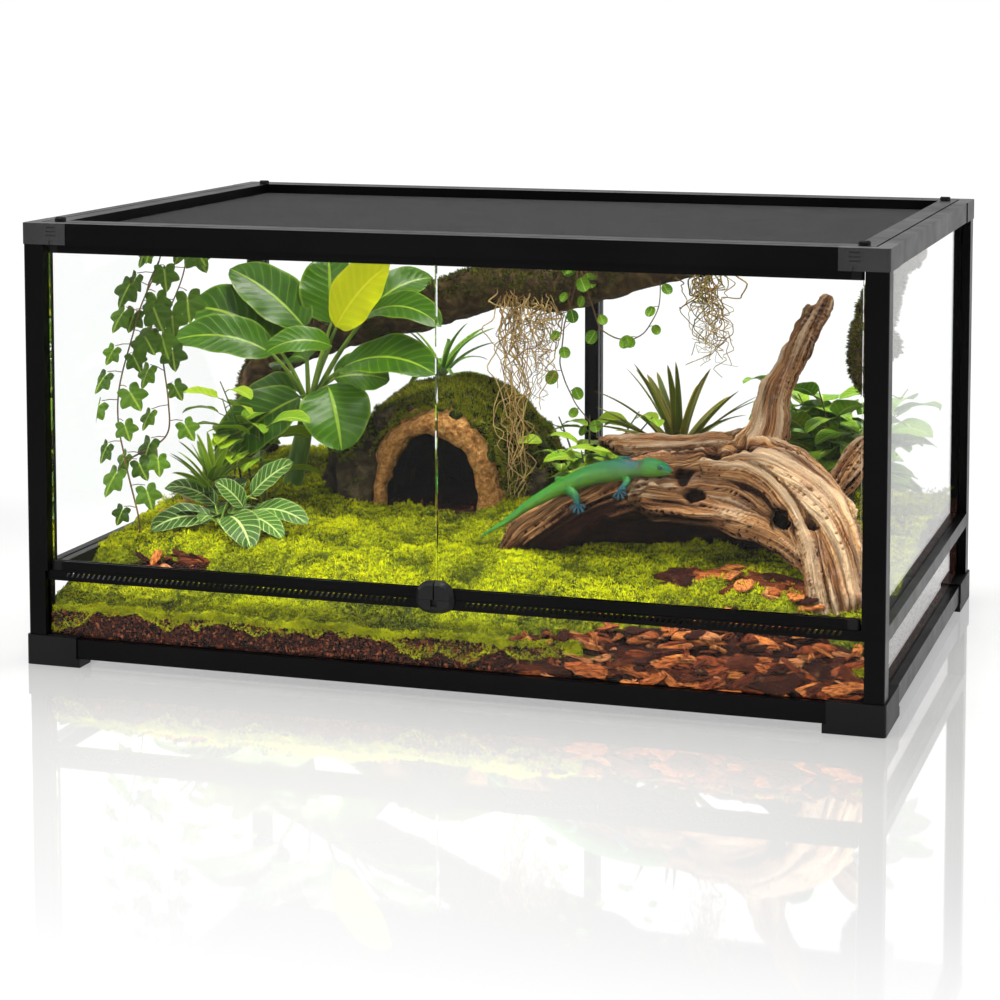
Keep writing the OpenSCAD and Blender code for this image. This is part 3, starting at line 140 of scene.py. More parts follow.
class Shape:
    """Pieces of mesh gathered into one object, with UVs, a tone per point and a flow vector."""

    def __init__(self):
        self.v, self.f, self.uv, self.tone, self.flow, self.n = [], [], [], [], [], 0

    def add(self, v, f, uv=(0, 0), tone=0.5, flow=(0, 0, 0)):
        v = np.asarray(v, float).reshape(-1, 3)
        m = len(v)
        self.v.append(v)
        self.f.append(np.asarray(f, np.int64) + self.n)
        self.uv.append(np.broadcast_to(np.reshape(uv, (-1, 2)), (m, 2)))
        self.tone.append(np.broadcast_to(np.ravel(tone), (m,)))
        self.flow.append(np.broadcast_to(np.reshape(flow, (-1, 3)), (m, 3)))
        self.n += m

    def many(self, v, f, tone, uv=(0, 0)):
        """v (count, m, 3): copies with the same faces f and UVs, one tone each."""
        count, m = v.shape[:2]
        faces = (np.asarray(f)[None] + np.arange(count)[:, None, None] * m).reshape(-1, len(f[0]))
        self.add(v, faces, np.broadcast_to(uv, (count, m, 2)), np.repeat(tone, m))

    def make(self, name, material, body="enclosure", flat=False):
        v = np.concatenate(self.v)
        if body == "enclosure":
            v = np.clip(v, *INSIDE)
        loops = np.concatenate([f.ravel() for f in self.f])
        sizes = np.concatenate([np.full(len(f), f.shape[1]) for f in self.f])
        me = bpy.data.meshes.new(name)
        me.vertices.add(len(v))
        me.loops.add(len(loops))
        me.polygons.add(len(sizes))
        put(me.vertices, "co", v)
        put(me.loops, "vertex_index", loops, np.int32)
        put(me.polygons, "loop_start", np.cumsum(sizes) - sizes, np.int32)
        put(me.polygons, "loop_total", sizes, np.int32)
        put(me.uv_layers.new(name="UVMap").data, "uv", np.concatenate(self.uv)[loops])
        for key, kind, part, values in (("tone", "FLOAT", "value", self.tone),
                                        ("flow", "FLOAT_VECTOR", "vector", self.flow)):
            put(me.attributes.new(key, kind, "POINT").data, part, np.concatenate(values))
        me.update(calc_edges=True)
        me.validate()
        me.polygons.foreach_set("use_smooth", np.full(len(me.polygons), not flat))
        me.materials.append(material)
        ob = add_object(name, me)
        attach(ob, body)
        return ob


def add_object(name, data):
    ob = bpy.data.objects.new(name, data)
    bpy.context.scene.collection.objects.link(ob)
    return ob


def curve(points, count):
    """Catmull-Rom through points (n, k), with count samples."""
    p = np.asarray(points, float)
    p = join(2 * p[:1] - p[1:2], p, 2 * p[-1:] - p[-2:-1])
    t = np.linspace(0, len(p) - 3 - 1e-6, count)
    i = t.astype(int)
    t = (t - i)[:, None]
    a, b, c, d = p[i], p[i + 1], p[i + 2], p[i + 3]
    return 0.5 * (2 * b + (c - a) * t + (2 * a - 5 * b + 4 * c - d) * t * t
                  + (3 * b - a - 3 * c + d) * t ** 3)


def frames(path):
    """Tangent, side and up along a path, turned as little as possible."""
    t = unit(np.gradient(path, axis=0))
    side = unit(np.cross(t[0], [0.13, 0.31, 0.94] if abs(t[0][2]) < 0.9 else [1, 0.1, 0]))
    sides = []
    for k in t:
        side = unit(side - k * np.dot(side, k))
        sides.append(side)
    s = np.array(sides)
    return t, s, np.cross(t, s)


def tube(path, radii, sides=6):
    """Vertices, faces and UVs of a tube; its ends close to a point."""
    path = np.asarray(path, float)
    r = np.broadcast_to(radii, (len(path),))
    path = join(path[:1], path, path[-1:])
    r = join([r[0] * 0.02], r, [r[-1] * 0.02])
    _, s, u = frames(path + np.arange(len(path))[:, None] * 1e-7)
    a = ring_of(sides)
    ring = np.cos(a)[None, :, None] * s[:, None] + np.sin(a)[None, :, None] * u[:, None]
    v = path[:, None] + ring * r[:, None, None]
    return v, grid_faces(sides, len(path), True), pack(a[None] / TAU, run_of(path)[:, None] * 10)


# ---------- materials ----------

def srgb(c):
    """Linear colour of a hex code; other colours stay."""
    if not isinstance(c, str):
        return tuple(c)
    raw = [int(c[k:k + 2], 16) / 255 for k in (1, 3, 5)]
    return tuple(x / 12.92 if x <= 0.04045 else ((x + 0.055) / 1.055) ** 2.4 for x in raw)


class Look:
    """A node material: sockets by name, nodes by short calls."""

    def __init__(self, name, rough=0.5, shine=0.5, **inputs):
        self.m = bpy.data.materials.new(name)
        self.m.use_nodes = True
        self.t = self.m.node_tree
        self.b = self.t.nodes["Principled BSDF"]
        self.set(self.b, Roughness=rough, Specular_IOR_Level=shine, **inputs)

    def set(self, node, **inputs):
        for key, value in inputs.items():
            spot = node.inputs[int(key[1:]) if key[1:].isdigit() else key.replace("_", " ")]
            if isinstance(value, bpy.types.NodeSocket):
                self.t.links.new(value, spot)
            elif spot.type == "RGBA":
                spot.default_value = (*srgb(value), 1)
            else:
                spot.default_value = value
        return node

    def new(self, kind, out=0, props=(), **inputs):
        node = self.t.nodes.new("ShaderNode" + kind)
        for key, value in dict(props).items():
            setattr(node, key, value)
        return self.set(node, **inputs).outputs[out]

    def at(self, name="Object"):
        """Object or UV coordinates, or the mesh's tone or flow."""
        if name in ("Object", "UV"):
            return self.new("TexCoord", name)
        return self.new("Attribute", 1 if name == "flow" else 2, {"attribute_name": name})

    def split(self, name):
        """The three parts of a vector."""
        node = self.t.nodes.new("ShaderNodeSeparateXYZ")
        return self.set(node, _0=self.at(name)).outputs

    def scaled(self, where, x, y, z):
        return self.new("Mapping", Vector=where, Scale=(x, y, z))

    def noise(self, scale, detail=3, where=None, rough=0.5, twist=0.0):
        return self.new("TexNoise", 0, Vector=where or self.at(), Scale=scale, Detail=detail,
                        Roughness=rough, Distortion=twist)

    def cells(self, scale, out="Distance", jitter=1.0):
        return self.new("TexVoronoi", out, Vector=self.at(), Scale=scale, Randomness=jitter)

    def math(self, op, a, b=0.0):
        return self.new("Math", 0, {"operation": op}, _0=a, _1=b)

    def times(self, a, b):
        return self.math("MULTIPLY", a, b)

    def step(self, value, low, high, to_low=0.0, to_high=1.0):
        return self.new("MapRange", 0, {"interpolation_type": "SMOOTHSTEP"}, Value=value,
                        From_Min=low, From_Max=high, To_Min=to_low, To_Max=to_high)

    def mix(self, factor, a, b, blend="MIX"):
        return self.new("Mix", 2, {"data_type": "RGBA", "blend_type": blend}, _0=factor, _6=a, _7=b)

    def dim(self, tint, by):
        return self.mix(1.0, tint, by, "MULTIPLY")

    def over(self, tint, colour, value, low, high, most=1.0):
        """Lays a colour over the tint where the value rises from low to high."""
        return self.mix(self.step(value, low, high, 0.0, most), tint, colour)

    def shade(self, light, tint, by):
        """The tint where `light` is 1, dimmed where it is 0: painted shade in some looks, darker spots of
        the colour itself in others.
        """
        return self.mix(light, self.dim(tint, by), tint)

    def ramp(self, factor, *stops):
        node = self.t.nodes.new("ShaderNodeValToRGB")
        self.set(node, _0=factor)
        e = node.color_ramp.elements
        while len(e) < len(stops):
            e.new(0.5)
        for k, (pos, colour) in enumerate(stops):
            e[k].position = pos
            e[k].color = (*srgb(colour), 1)
        return node.outputs[0]

    def done(self, tint, height, depth, strength):
        """Colour and bump; gives the material."""
        bump = self.new("Bump", Height=height, Distance=depth, Strength=strength)
        self.set(self.b, Base_Color=tint, Normal=bump)
        return self.m

    def surface(self, factor, a, b):
        """Mixes two shaders into the material's output."""
        both = self.new("MixShader", 0, _0=factor, _1=a, _2=b)
        self.set(self.t.nodes["Material Output"], _0=both)
        return both


def black_look(name, dark, pale, rough, grain, depth, shine):
    look = Look(name, shine=shine, IOR=1.5)
    cloud = look.noise(9, 4)
    scuff = look.step(look.noise(40, 4), 0.3, 0.8, rough, rough + 0.06)
    look.set(look.b, Roughness=look.math("ADD", scuff, look.step(cloud, 0.3, 0.7, -0.02, 0.03)))
    return look.done(look.mix(look.step(cloud, 0.35, 0.7), dark, pale), look.noise(grain, 2), depth, 0.3)


satin = black_look("satin_black_profile", "#030304", "#060607", 0.3, 900, 0.0001, 0.06)
moulded = black_look("moulded_black", "#0a0a0b", "#111112", 0.46, 1500, 0.0003, 0.12)
connector_grey = black_look("connector_grey", "#242425", "#303031", 0.42, 1500, 0.0003, 0.2)
knob_black = black_look("knob_black", "#0d0d0e", "#151517", 0.4, 1200, 0.0002, 0.16)


def glass_look():
    """Clear glass that lets the light through to what it covers."""
    clear = (0.985, 0.995, 0.99)
    look = Look("clear_glass", Base_Color=clear, IOR=1.16, Transmission_Weight=1.0)
    look.set(look.b, Roughness=look.step(look.noise(5, 3), 0.45, 0.8, 0.0, 0.006))
    look.surface(look.new("LightPath", "Is Shadow Ray"), look.b.outputs[0],
                 look.new("BsdfTransparent", Color=clear))
    return look.m


def dress(material, bevel, *names):
    for n in names:
        ob = nodes[n]
        ob.data.materials.clear()
        ob.data.materials.append(material)
        if bevel:
            mod = ob.modifiers.new("edge", "BEVEL")
            mod.width = bevel
            mod.segments = 2
            mod.limit_method = "ANGLE"
            mod.angle_limit = math.radians(35)
            mod.harden_normals = True
            ob.data.polygons.foreach_set("use_smooth", np.full(len(ob.data.polygons), True))


CORNERS = ("front_left", "front_right", "back_left", "back_right")
SIDES = ("front", "back", "left", "right")
dress(moulded, 0.0006, *(f"foot_{c}" for c in CORNERS), "hinge_bushes", "left_door_caps",
      "right_door_caps")
dress(connector_grey, 0.0004, *(f"connector_{c}" for c in CORNERS))
dress(knob_black, 0.0005, "lock_housing", "lock_bolt", "left_door_pull", "right_door_pull",
      *(f"lid_lock_{c}" for c in CORNERS))
dress(satin, 0.0007, *(f"{k}_rail_{s}" for k in ("base", "top") for s in SIDES),
      *(f"rim_rail_{s}" for s in SIDES[1:]), *(f"post_{c}" for c in CORNERS), "post_back_centre",
      "lower_posts", "vent_strip", "left_door_strips", "right_door_strips", "lid_frame")
dress(glass_look(), 0.0, "floor_pane", "tub_panes", "side_pane_left", "side_pane_right",
      "back_pane_left", "back_pane_right", "left_door_glass", "right_door_glass")


# The lid's screen: woven wires between the frame's inner edges
WIRE_PITCH, WIRE = 0.0021, 0.0006


def screen_look():
    look = Look("screen_wire", 0.55, 0.15)
    return look.done(look.mix(look.noise(30, 4), "#242426", "#353536"), look.noise(2000, 2), 0.0001, 0.3)


def screen_wires():
    """Long thin wires both ways, crossing within the solid screen's own box."""
    solid = nodes["lid_screen"]
    corners = np.array([solid.matrix_world @ Vector(c) for c in solid.bound_box])
    low, high = corners.min(0), corners.max(0)
    weave = Shape()
    box = np.array([[x, y, z] for z in (-0.5, 0.5) for y in (-0.5, 0.5) for x in (-0.5, 0.5)])
    sides = [[0, 2, 3, 1], [4, 5, 7, 6], [0, 1, 5, 4], [2, 6, 7, 3], [0, 4, 6, 2], [1, 3, 7, 5]]
    for axis in (0, 1):
        across = high[1 - axis] - low[1 - axis]
        count = int(across / WIRE_PITCH)
        centre = np.zeros((count, 3))
        centre[:, axis] = (low[axis] + high[axis]) / 2
        centre[:, 1 - axis] = low[1 - axis] + (np.arange(count) + 0.5) / count * across
        centre[:, 2] = (low[2] + high[2]) / 2 + (0.5 - axis) * WIRE * 0.5
        size = np.full(3, WIRE)
        size[axis] = high[axis] - low[axis]
        weave.many(centre[:, None] + box[None] * size, sides, rng.random(count))
    return weave.make("screen_mesh", screen_look(), "lid", flat=True)


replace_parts(screen_wires(), "lid_screen")


# ---------- the plan ----------
# Places of the planting are in plan millimetres above the bed; STRETCH takes them to the tank.

STRETCH = np.array([441.5 / 440, 289.5 / 290, 387.5 / 387])
BED = 60.0
SOIL_LOW, SOIL_HIGH = 17.6, 4.5
IN_X, FRONT, BACK = 441.0, -291.7, 289.0
CAVE_X = -120
# How far the moss and the crumbs reach to each side
REACH = 434
HUMMOCKS = ((-175, -150, 12, 80), (60, -175, 9, 75), (-340, -130, 10, 70), (170, -120, -14, 80),
            (385, 40, 8, 80), (-20, 120, 8, 90), (-330, 180, 18, 110), (180, 200, 10, 120),
            (300, -215, 6, 70))
BARK_ZONE = ((285, -262, 150, 40), (300, -232, 80, 26), (-335, -205, 46, 22), (120, -284, 60, 10))


def ground(x, y):
    """Height of the moss above the bed at plan places in mm."""
    z = 44 * smooth((y + 300) / 170) + 22 * smooth((y + 150) / 250)
    z = z + 1.5 * np.sin(np.radians(x * 2.9 + y)) * np.cos(np.radians(y * 3.7))
    near = smooth((y + 290) / 60)
    for hx, hy, high, wide in HUMMOCKS:
        z = z + near * high * np.exp(-((x - hx) ** 2 + (y - hy) ** 2) / wide ** 2)
    return z


def plan(p):
    """Plan points in mm to metres; numbers after the third are only scaled."""
    p = np.asarray(p, float)
    out = p / 1000
    out[..., :3] = (p[..., :3] * STRETCH + (0, 0, BED)) / 1000
    return out


def on_moss(x, y, dz):
    """Real place dz mm above the moss."""
    return plan(pack(x, y, ground(np.asarray(x, float), np.asarray(y, float)) + dz))


def cells2(x, y, size, seed):
    """Distance to the nearest jittered cell middle, in cell widths, and that cell's own number."""
    gx, gy = np.asarray(x) / size, np.asarray(y) / size
    ix, iy = np.floor(gx).astype(np.int64), np.floor(gy).astype(np.int64)
    best = np.full(gx.shape, 9.0)
    own = np.zeros(gx.shape)
    for a, b in np.ndindex(3, 3):
        cx, cy = ix + a - 1, iy + b - 1
        jx, jy = (c + 0.5 + 0.45 * lattice(cx, cy, k, seed) for c, k in ((cx, 0), (cy, 7)))
        d = np.hypot(gx - jx, gy - jy)
        own = np.where(d < best, lattice(cx, cy, 3, seed), own)
        best = np.minimum(d, best)
    return best, own


def bare(x, y):
    """1 where no moss grows: under the bark, in the cave and at soil patches."""
    out = np.zeros_like(np.asarray(x, float))
    for cx, cy, rx, ry in BARK_ZONE:
        out = np.maximum(out, 1 - smooth(np.hypot((x - cx) / rx, (y - cy) / ry), 0.75, 1.1))
    cave = (np.abs(x - CAVE_X) < np.where(y > 60, 74, 60)) & (y > 26) & (y < 176)
    edge = -285 + 5 * noise(pack(x * 0.018, 0, 4)) + 4 * noise(pack(x * 0.07, 0, 9))
    return np.maximum(np.maximum(out, cave), (1 - smooth(y - edge, -4, 5)) * 0.98)


# ---------- looks of the bed ----------

def soil_look():
    look = Look("rainforest_soil", 0.9, 0.08)
    tint = look.ramp(look.noise(150, 4, None, 0.65), (0.25, "#0c0504"), (0.45, "#220e09"),
                     (0.6, "#3a1a10"), (0.78, "#5c2c1a"))
    tint = look.mix(0.3, tint, look.mix(look.cells(90, "Color"), "#150806", "#502818"))
    tint = look.over(tint, "#2c1710", look.noise(28, 4), 0.55, 0.75, 0.6)
    height = look.math("ADD", look.times(look.cells(230), -0.8), look.noise(420, 3))
    # Darker where the tone is low: painted shade, near black in the cave and darker under the moss; the
    # walls a little darker
    return look.done(look.shade(look.at("tone"), tint, (0.12, 0.1, 0.1)), height, 0.0014, 0.9)


def crumb_look():
    look = Look("soil_crumbs", 0.85, 0.08)
    tint = look.ramp(look.at("tone"), (0.0, "#080302"), (0.3, "#1e0b06"), (0.55, "#3a160c"),
                     (0.8, "#662c16"), (1.0, "#985430"))
    tint = look.shade(look.noise(500, 3), tint, (0.6, 0.58, 0.56))
    return look.done(tint, look.noise(900, 3), 0.0006, 0.8)


def moss_look(name, low, mid, high, pale):
    look = Look(name, 0.8, 0.08)
    tone = look.at("tone")
    tint = look.mix(look.step(look.noise(14, 4, None, 0.6), 0.32, 0.66), low, mid)
    tint = look.over(tint, high, look.noise(240, 3), 0.4, 0.75)
    # On the carpet the tone follows the cushions: paler above 0.72 as a painted highlight on the tops (a
    # level the carpet's tone stops short of), darker where it is low as painted shade in the dips
    tint = look.over(tint, pale, tone, 0.72, 1.0, 0.8)
    tint = look.shade(look.step(tone, 0.08, 0.5), tint, (0.16, 0.2, 0.1))
    return look.done(tint, look.noise(700, 3), 0.001, 0.7)


def blade_look(name, foot, mid, tip, pale):
    """For tufts: UV runs up the blade, and the tone picks its colour; on the moss leaflets the tone also
    carries painted light.
    """
    look = Look(name, 0.7, 0.06, Subsurface_Weight=0.12, Subsurface_Scale=0.003)
    up = look.split("UV")[1]
    tone = look.at("tone")
    tint = look.mix(look.step(look.noise(14, 4, None, 0.6), 0.35, 0.68), foot, mid)
    # Brighter towards the tip colour where the tone is high and darker where it is low: on the moss
    # leaflets painted light from the cushions, elsewhere random
    tint = look.shade(look.step(tone, 0.0, 0.45), look.mix(tone, tint, tip), (0.2, 0.26, 0.12))
    tint = look.over(tint, pale, up, 0.55, 1.0, 0.75)
    # Painted shade towards the foot of each blade
    tint = look.shade(look.step(up, 0.0, 0.5), tint, (0.22, 0.27, 0.12))
    return look.done(tint, look.noise(1500, 2), 0.0003, 0.4)


moss_blades = blade_look("moss_leaves", "#546800", "#a6b000", "#d6d802", "#eeec10")


# ---------- tufts and crumbs ----------

def between(low, high, count):
    """Random lengths in metres from bounds in mm."""
    return rng.uniform(low, high, count) / 1000


def tufts(shape, at, up, length, width, per, tone):
    """Kite-shaped leaflets: per of them at each point, round its normal."""
    at, up, length, tone = (np.repeat(k, per, 0) for k in (at, up, length, tone))
    side = unit(np.cross(up, unit(rng.normal(size=at.shape))))
    d = unit(up + side * rng.uniform(0.15, 1.0, (len(at), 1)))
    l = (length * rng.uniform(0.7, 1.25, len(at)))[:, None]
    w = np.cross(d, side) * (width * 0.5)
    bow = unit(np.cross(d, w)) * l * 0.12
    foot = at - up * 0.0008 + side * l * 0.1
    v = np.stack([foot, foot + d * l * 0.5 + w - bow, foot + d * l, foot + d * l * 0.5 - w - bow], 1)
    tone = np.clip(tone + rng.normal(0, 0.12, len(at)), 0, 1)
    shape.many(v, [[0, 1, 2, 3]], tone, [[0.5, 0], [1, 0.5], [0.5, 1], [0, 0.5]])


def scatter(v, f, count):
    """Random places on quads, with their normals."""
    f = join(f[:, :3], f[:, [0, 2, 3]])
    a, b, c = v[f[:, 0]], v[f[:, 1]], v[f[:, 2]]
    cross = np.cross(b - a, c - a)
    area = np.linalg.norm(cross, axis=1)
    pick = rng.choice(len(f), count, p=area / area.sum())
    r, s = rng.random(count), rng.random(count)
    flip = r + s > 1
    r, s = np.where(flip, 1 - r, r)[:, None], np.where(flip, 1 - s, s)[:, None]
    return a[pick] + r * (b[pick] - a[pick]) + s * (c[pick] - a[pick]), unit(cross[pick])


CRUMB = unit([[1, 0, 0], [-1, 0, 0], [0, 1, 0], [0, -1, 0], [0, 0, 1], [0, 0, -1]])
CRUMB_F = [[0, 2, 4], [2, 1, 4], [1, 3, 4], [3, 0, 4], [2, 0, 5], [1, 2, 5], [3, 1, 5], [0, 3, 5]]


def turns(n):
    """Random rotations."""
    w, x, y, z = unit(rng.normal(size=(n, 4))).T
    return pack(1 - 2 * (y * y + z * z), 2 * (x * y - z * w), 2 * (x * z + y * w),
                2 * (x * y + z * w), 1 - 2 * (x * x + z * z), 2 * (y * z - x * w),
                2 * (x * z - y * w), 2 * (y * z + x * w), 1 - 2 * (x * x + y * y)).reshape(n, 3, 3)


def crumbs(shape, at, size, flat=1.0):
    n = len(at)
    v = CRUMB[None] * rng.uniform(0.55, 1.2, (n, 6, 1)) * rng.uniform(0.5, 1.1, (n, 1, 3))
    v = np.einsum("nij,nkj->nki", turns(n), v) * np.reshape(size, (-1, 1, 1))
    v[..., 1] *= flat
    shape.many(v + at[:, None], CRUMB_F, rng.random(n) ** 1.5)


# ---------- soil ----------

def soil_top(x, y):
    return BED + (ground(x, y) - 6.5) * STRETCH[2]


bed = Shape()
gx, gy = np.meshgrid(np.linspace(-IN_X, IN_X, 150), np.linspace(FRONT + 3.4, BACK, 100))
x, y = gx / STRETCH[0], gy / STRETCH[1]
open_soil = bare(x, y)
z = soil_top(x, y) + 1.2 * fbm(pack(gx * 0.05, gy * 0.05, 0), 3)
z = z + SOIL_HIGH * smooth(open_soil) * (y > -268)
# The bed's tone is painted shade: 0 in the cave, 0.4 under the moss, 1 on open soil; the walls get 0.75
# and the bottom 0.4
in_cave = (np.abs(x - CAVE_X) < 80) & (y > 44) & (y < 190)
bed.add(metres(gx, gy, z), grid_faces(150, 100), tone=np.where(in_cave, 0.0, 0.4 + 0.6 * open_soil))
k = np.linspace(0, 1, 14)[:, None]
for wide, fixed, count in ((True, FRONT, 150), (True, BACK, 150), (False, -IN_X, 100),
                           (False, IN_X, 100)):
    run = np.linspace(-IN_X, IN_X, count) if wide else np.linspace(FRONT, BACK, count)
    x, y = (run, fixed) if wide else (fixed, run)
    z = SOIL_LOW + (soil_top(x / STRETCH[0], y / STRETCH[1]) - SOIL_LOW) * k
    back = (3.4 + 4 * smooth(x, 70, 130)) * smooth(k, 0.0, 0.15) * (fixed == FRONT)
    bed.add(metres(x, y + back, z), grid_faces(count, 14), tone=0.75)
bed.add(metres([-IN_X, IN_X, IN_X, -IN_X], [FRONT, FRONT, BACK, BACK], SOIL_LOW), [[0, 3, 2, 1]],
        tone=0.4)
soil_ob = bed.make("soil_bed_detail", soil_look())
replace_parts(soil_ob, "soil_bed")

# Crumbs: behind the front glass, at the sides, at the back and on open soil
grit = Shape()
n = 9000
x = rng.uniform(-REACH, 135, n)
z = 18.5 + rng.random(n) * (soil_top(x, -290.0) - 16)
crumbs(grit, metres(x, FRONT + 2.2 + rng.random(n) * 1.4, z), between(1.0, 3.4, n), flat=0.6)
n = 3500
for side in (-1, 1):
    y = rng.uniform(-278, 278, n)
    z = 30 + rng.random(n) * np.maximum(soil_top(side * 440.0, y) - 28, 4)
    crumbs(grit, metres(side * (IN_X + 0.2), y, z), between(0.8, 1.8, n))
n = 6000
x = rng.uniform(-430, 430, n)
z = rng.random(n) * (soil_top(x, 288.0) - 20) + 20
crumbs(grit, metres(x, BACK + 0.3, z), between(1.0, 2.8, n), flat=0.4)
n = 14000
x, y = rng.uniform(-REACH, REACH, n), rng.uniform(-289, 286, n)
keep = (bare(x, y) > rng.random(n) * 0.9 + 0.1) & ~((np.abs(x - CAVE_X) < 80) & (y > 60))
x, y = x[keep], y[keep]
z = soil_top(x, y) + rng.uniform(-1, 2.4, len(x)) + SOIL_HIGH * (y > -268)
crumbs(grit, metres(x * STRETCH[0], y, z), between(0.9, 3.0, len(x)))
grit.make("soil_crumbs", crumb_look(), flat=True)


# ---------- moss ----------

def moss_height(x, y):
    """Real height in mm of the moss cushions at plan places, their cover and how they swell."""
    spot = pack(x, y, 0)
    d0, _ = cells2(x + 16 * noise(spot * 0.02), y * 1.25, 86, 14)
    d1, own = cells2(x + 6 * noise(spot * 0.05), y, 27, 5)
    d2, _ = cells2(x, y, 11, 9)
    z = ground(x, y) - 3 + 12 * (0.42 - d0 ** 2) + (8 + 3 * own) * (0.5 - d1 ** 1.8)
    z = z + 3.4 * (0.5 - d2 ** 1.5) + 2 * fbm(spot * 0.14, 3, 3)
    cover = 1 - smooth(bare(x, y), 0.15, 0.75)
    low = soil_top(x, y) - BED - 2.5
    puff = (0.58 - d1) * 0.7 + (0.46 - d2) * 0.6 + (0.42 - d0) * 0.75
    return BED + STRETCH[2] * (low + (z - low) * cover), cover, puff


x, y = np.meshgrid(np.linspace(-437.5, 437.5, 262), np.linspace(-288.6, 286, 176))
z, _, puff = moss_height(x, y)
under_rails = np.maximum(smooth(np.abs(x), 424, 437), smooth(y, 272, 286))
z = z - np.maximum(0, z - BED - 57) * under_rails
carpet = Shape()
# Tone from the cushions' swell: painted shade in the dips between them
carpet.add(metres(x * STRETCH[0], y * STRETCH[1], z), grid_faces(262, 176),
           tone=np.clip(0.3 + puff * 0.6, 0, 0.7))
carpet_ob = carpet.make("moss_carpet_detail",
                        moss_look("moss_cushion", "#2a3402", "#626c02", "#989c04", "#bcb60c"))
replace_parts(carpet_ob, "moss_carpet")

n, e = 64000, 2.0
x, y = rng.uniform(-REACH, REACH, n), -288 + 572 * rng.random(n) ** 1.25
z, cover, puff = moss_height(x, y)
keep = (cover > 0.6) & ((puff + rng.random(n) * 0.5) > -0.02)
x, y, z, puff = x[keep], y[keep], z[keep], puff[keep]
up = unit(pack((z - moss_height(x + e, y)[0]) / e, (z - moss_height(x, y + e)[0]) / e, 1))
patch = fbm(pack(x, y, 0) * 0.02, 2, 8)
# Tone: brighter on the cushion tops and darker in the dips as painted light, random patches, and painted
# shade along the front edge
tone = 0.18 + 0.95 * puff + 0.5 * patch - 0.3 * (1 - smooth(y, -286, -225))
field = Shape()
tufts(field, metres(x * STRETCH[0], y * STRETCH[1], z), up, between(2.4, 5.6, len(x)), 0.00125, 3,
      np.clip(tone, 0, 1))
field.make("moss_leaflets", moss_blades)

# Moss hanging down over the soil behind the front glass
n = 20000
x, q = rng.uniform(-REACH, REACH, n), rng.random(n)
keep = bare(x, -250.0) < 0.4
x, q = x[keep], q[keep]
drop = 14 + 13 * fbm(pack(x * 0.014, 0, 0), 3, 5) + 6 * noise(pack(x * 0.06, 0, 0), 6)
z = soil_top(x, -289.0) + 9 + 2.5 * noise(pack(x * 0.12, 0, 0), 8) - q * np.maximum(drop, 3)
at = metres(x * STRETCH[0], FRONT + 2.6 + 3 * (1 - q), z)
up = unit(pack(0, -1 + 0.2 * (1 - q), 0.9 - 0.9 * q))
fringe = Shape()
tufts(fringe, at, up, between(2, 3.4, len(x)), 0.0012, 3,
      np.clip(0.1 + 0.5 * noise(at * 120, 9) + 0.3 * rng.random(len(q)), 0, 0.7))
fringe.v[0][:, 1] = np.maximum(fringe.v[0][:, 1], (FRONT + 0.3) / 1000)
fringe.make("moss_fringe", moss_blades)


# ---------- wood, bark and cave ----------

def normals(v, f):
    a, b, c, d = (v[f[:, k]] for k in range(4))
    face = np.cross(c - a, d - b)
    out = np.zeros_like(v)
    for k in range(4):
        np.add.at(out, f[:, k], face)
    return unit(out)


def remesh(shape, voxel, relax=1):
    """Vertices, faces and normals of the union of a shape's pieces, evenly meshed."""
    me = bpy.data.meshes.new("raw")
    me.from_pydata(np.concatenate(shape.v).tolist(), [], np.concatenate(shape.f).tolist())
    ob = add_object("raw", me)
    mod = ob.modifiers.new("even", "REMESH")
    mod.mode = "VOXEL"
    mod.voxel_size = voxel
    mod = ob.modifiers.new("soft", "SMOOTH")
    mod.iterations = relax
    mod.factor = 0.5
    done = ob.evaluated_get(bpy.context.evaluated_depsgraph_get()).data
    v = np.zeros(len(done.vertices) * 3)
    done.vertices.foreach_get("co", v)
    f = np.zeros(len(done.polygons) * 4, np.int64)
    done.polygons.foreach_get("vertices", f)
    bpy.data.objects.remove(ob)
    bpy.data.meshes.remove(me)
    v, f = v.reshape(-1, 3), f.reshape(-1, 4)
    return v, f, normals(v, f)


def limb(shape, path, sides=18, step=0.005):
    """Round limb through real points with radii, with domed ends; gives its centre line."""
    p = np.asarray(path)
    c = curve(p, max(6, int(run_of(p[:, :3])[-1] / step)))
    r = np.maximum(c[:, 3], 0.0008)
    out = np.array([0.95, 0.7])
    round_ = np.sqrt(1 - out * out)
    start, end = (unit(c[i, :3] - c[j, :3]) * r[i] for i, j in ((0, 1), (-1, -2)))
    centre = join(c[0, :3] + start * out[:, None], c[:, :3], c[-1, :3] + end * out[::-1, None])
    shape.add(*tube(centre, join(r[0] * round_, r, r[-1] * round_[::-1]), sides)[:2])
    return c


def along(v, lines):
    """For each vertex: run, angle and radius on the nearest limb, and that limb's number."""
    best = np.full(len(v), 9.0)
    own = np.zeros(len(v), int)
    flow = np.zeros((len(v), 3))
    for k, c in enumerate(lines):
        t, s, u = frames(c[:, :3])
        run = run_of(c[:, :3])
        for lo in range(0, len(v), 20000):
            part = slice(lo, lo + 20000)
            d = v[part, None] - c[None, :, :3]
            dist = np.linalg.norm(d, axis=2) - c[None, :, 3]
            i = dist.argmin(1)
            w, near = (x[np.arange(len(i)), i] for x in (d, dist))
            angle = np.arctan2((w * u[i]).sum(1), (w * s[i]).sum(1))
            better = near < best[part]
            spot = np.arange(len(v))[part][better]
            best[spot] = near[better]
            flow[spot] = pack(run[i] + (w * t[i]).sum(1) + 0.37 * k, angle, c[i, 3])[better]
            own[spot] = k
    return flow, own


def grained(flow, across, run, shift, twist=5.0):
    """Grain coordinates: fine round the limb, slow along it; closed round the limb."""
    a = flow[:, 1] + 0.35 * np.sin(flow[:, 0] * twist * 3) + 0.5 * flow[:, 0] * twist
    return pack(np.cos(a) * across, np.sin(a) * across, flow[:, 0] * run + shift)


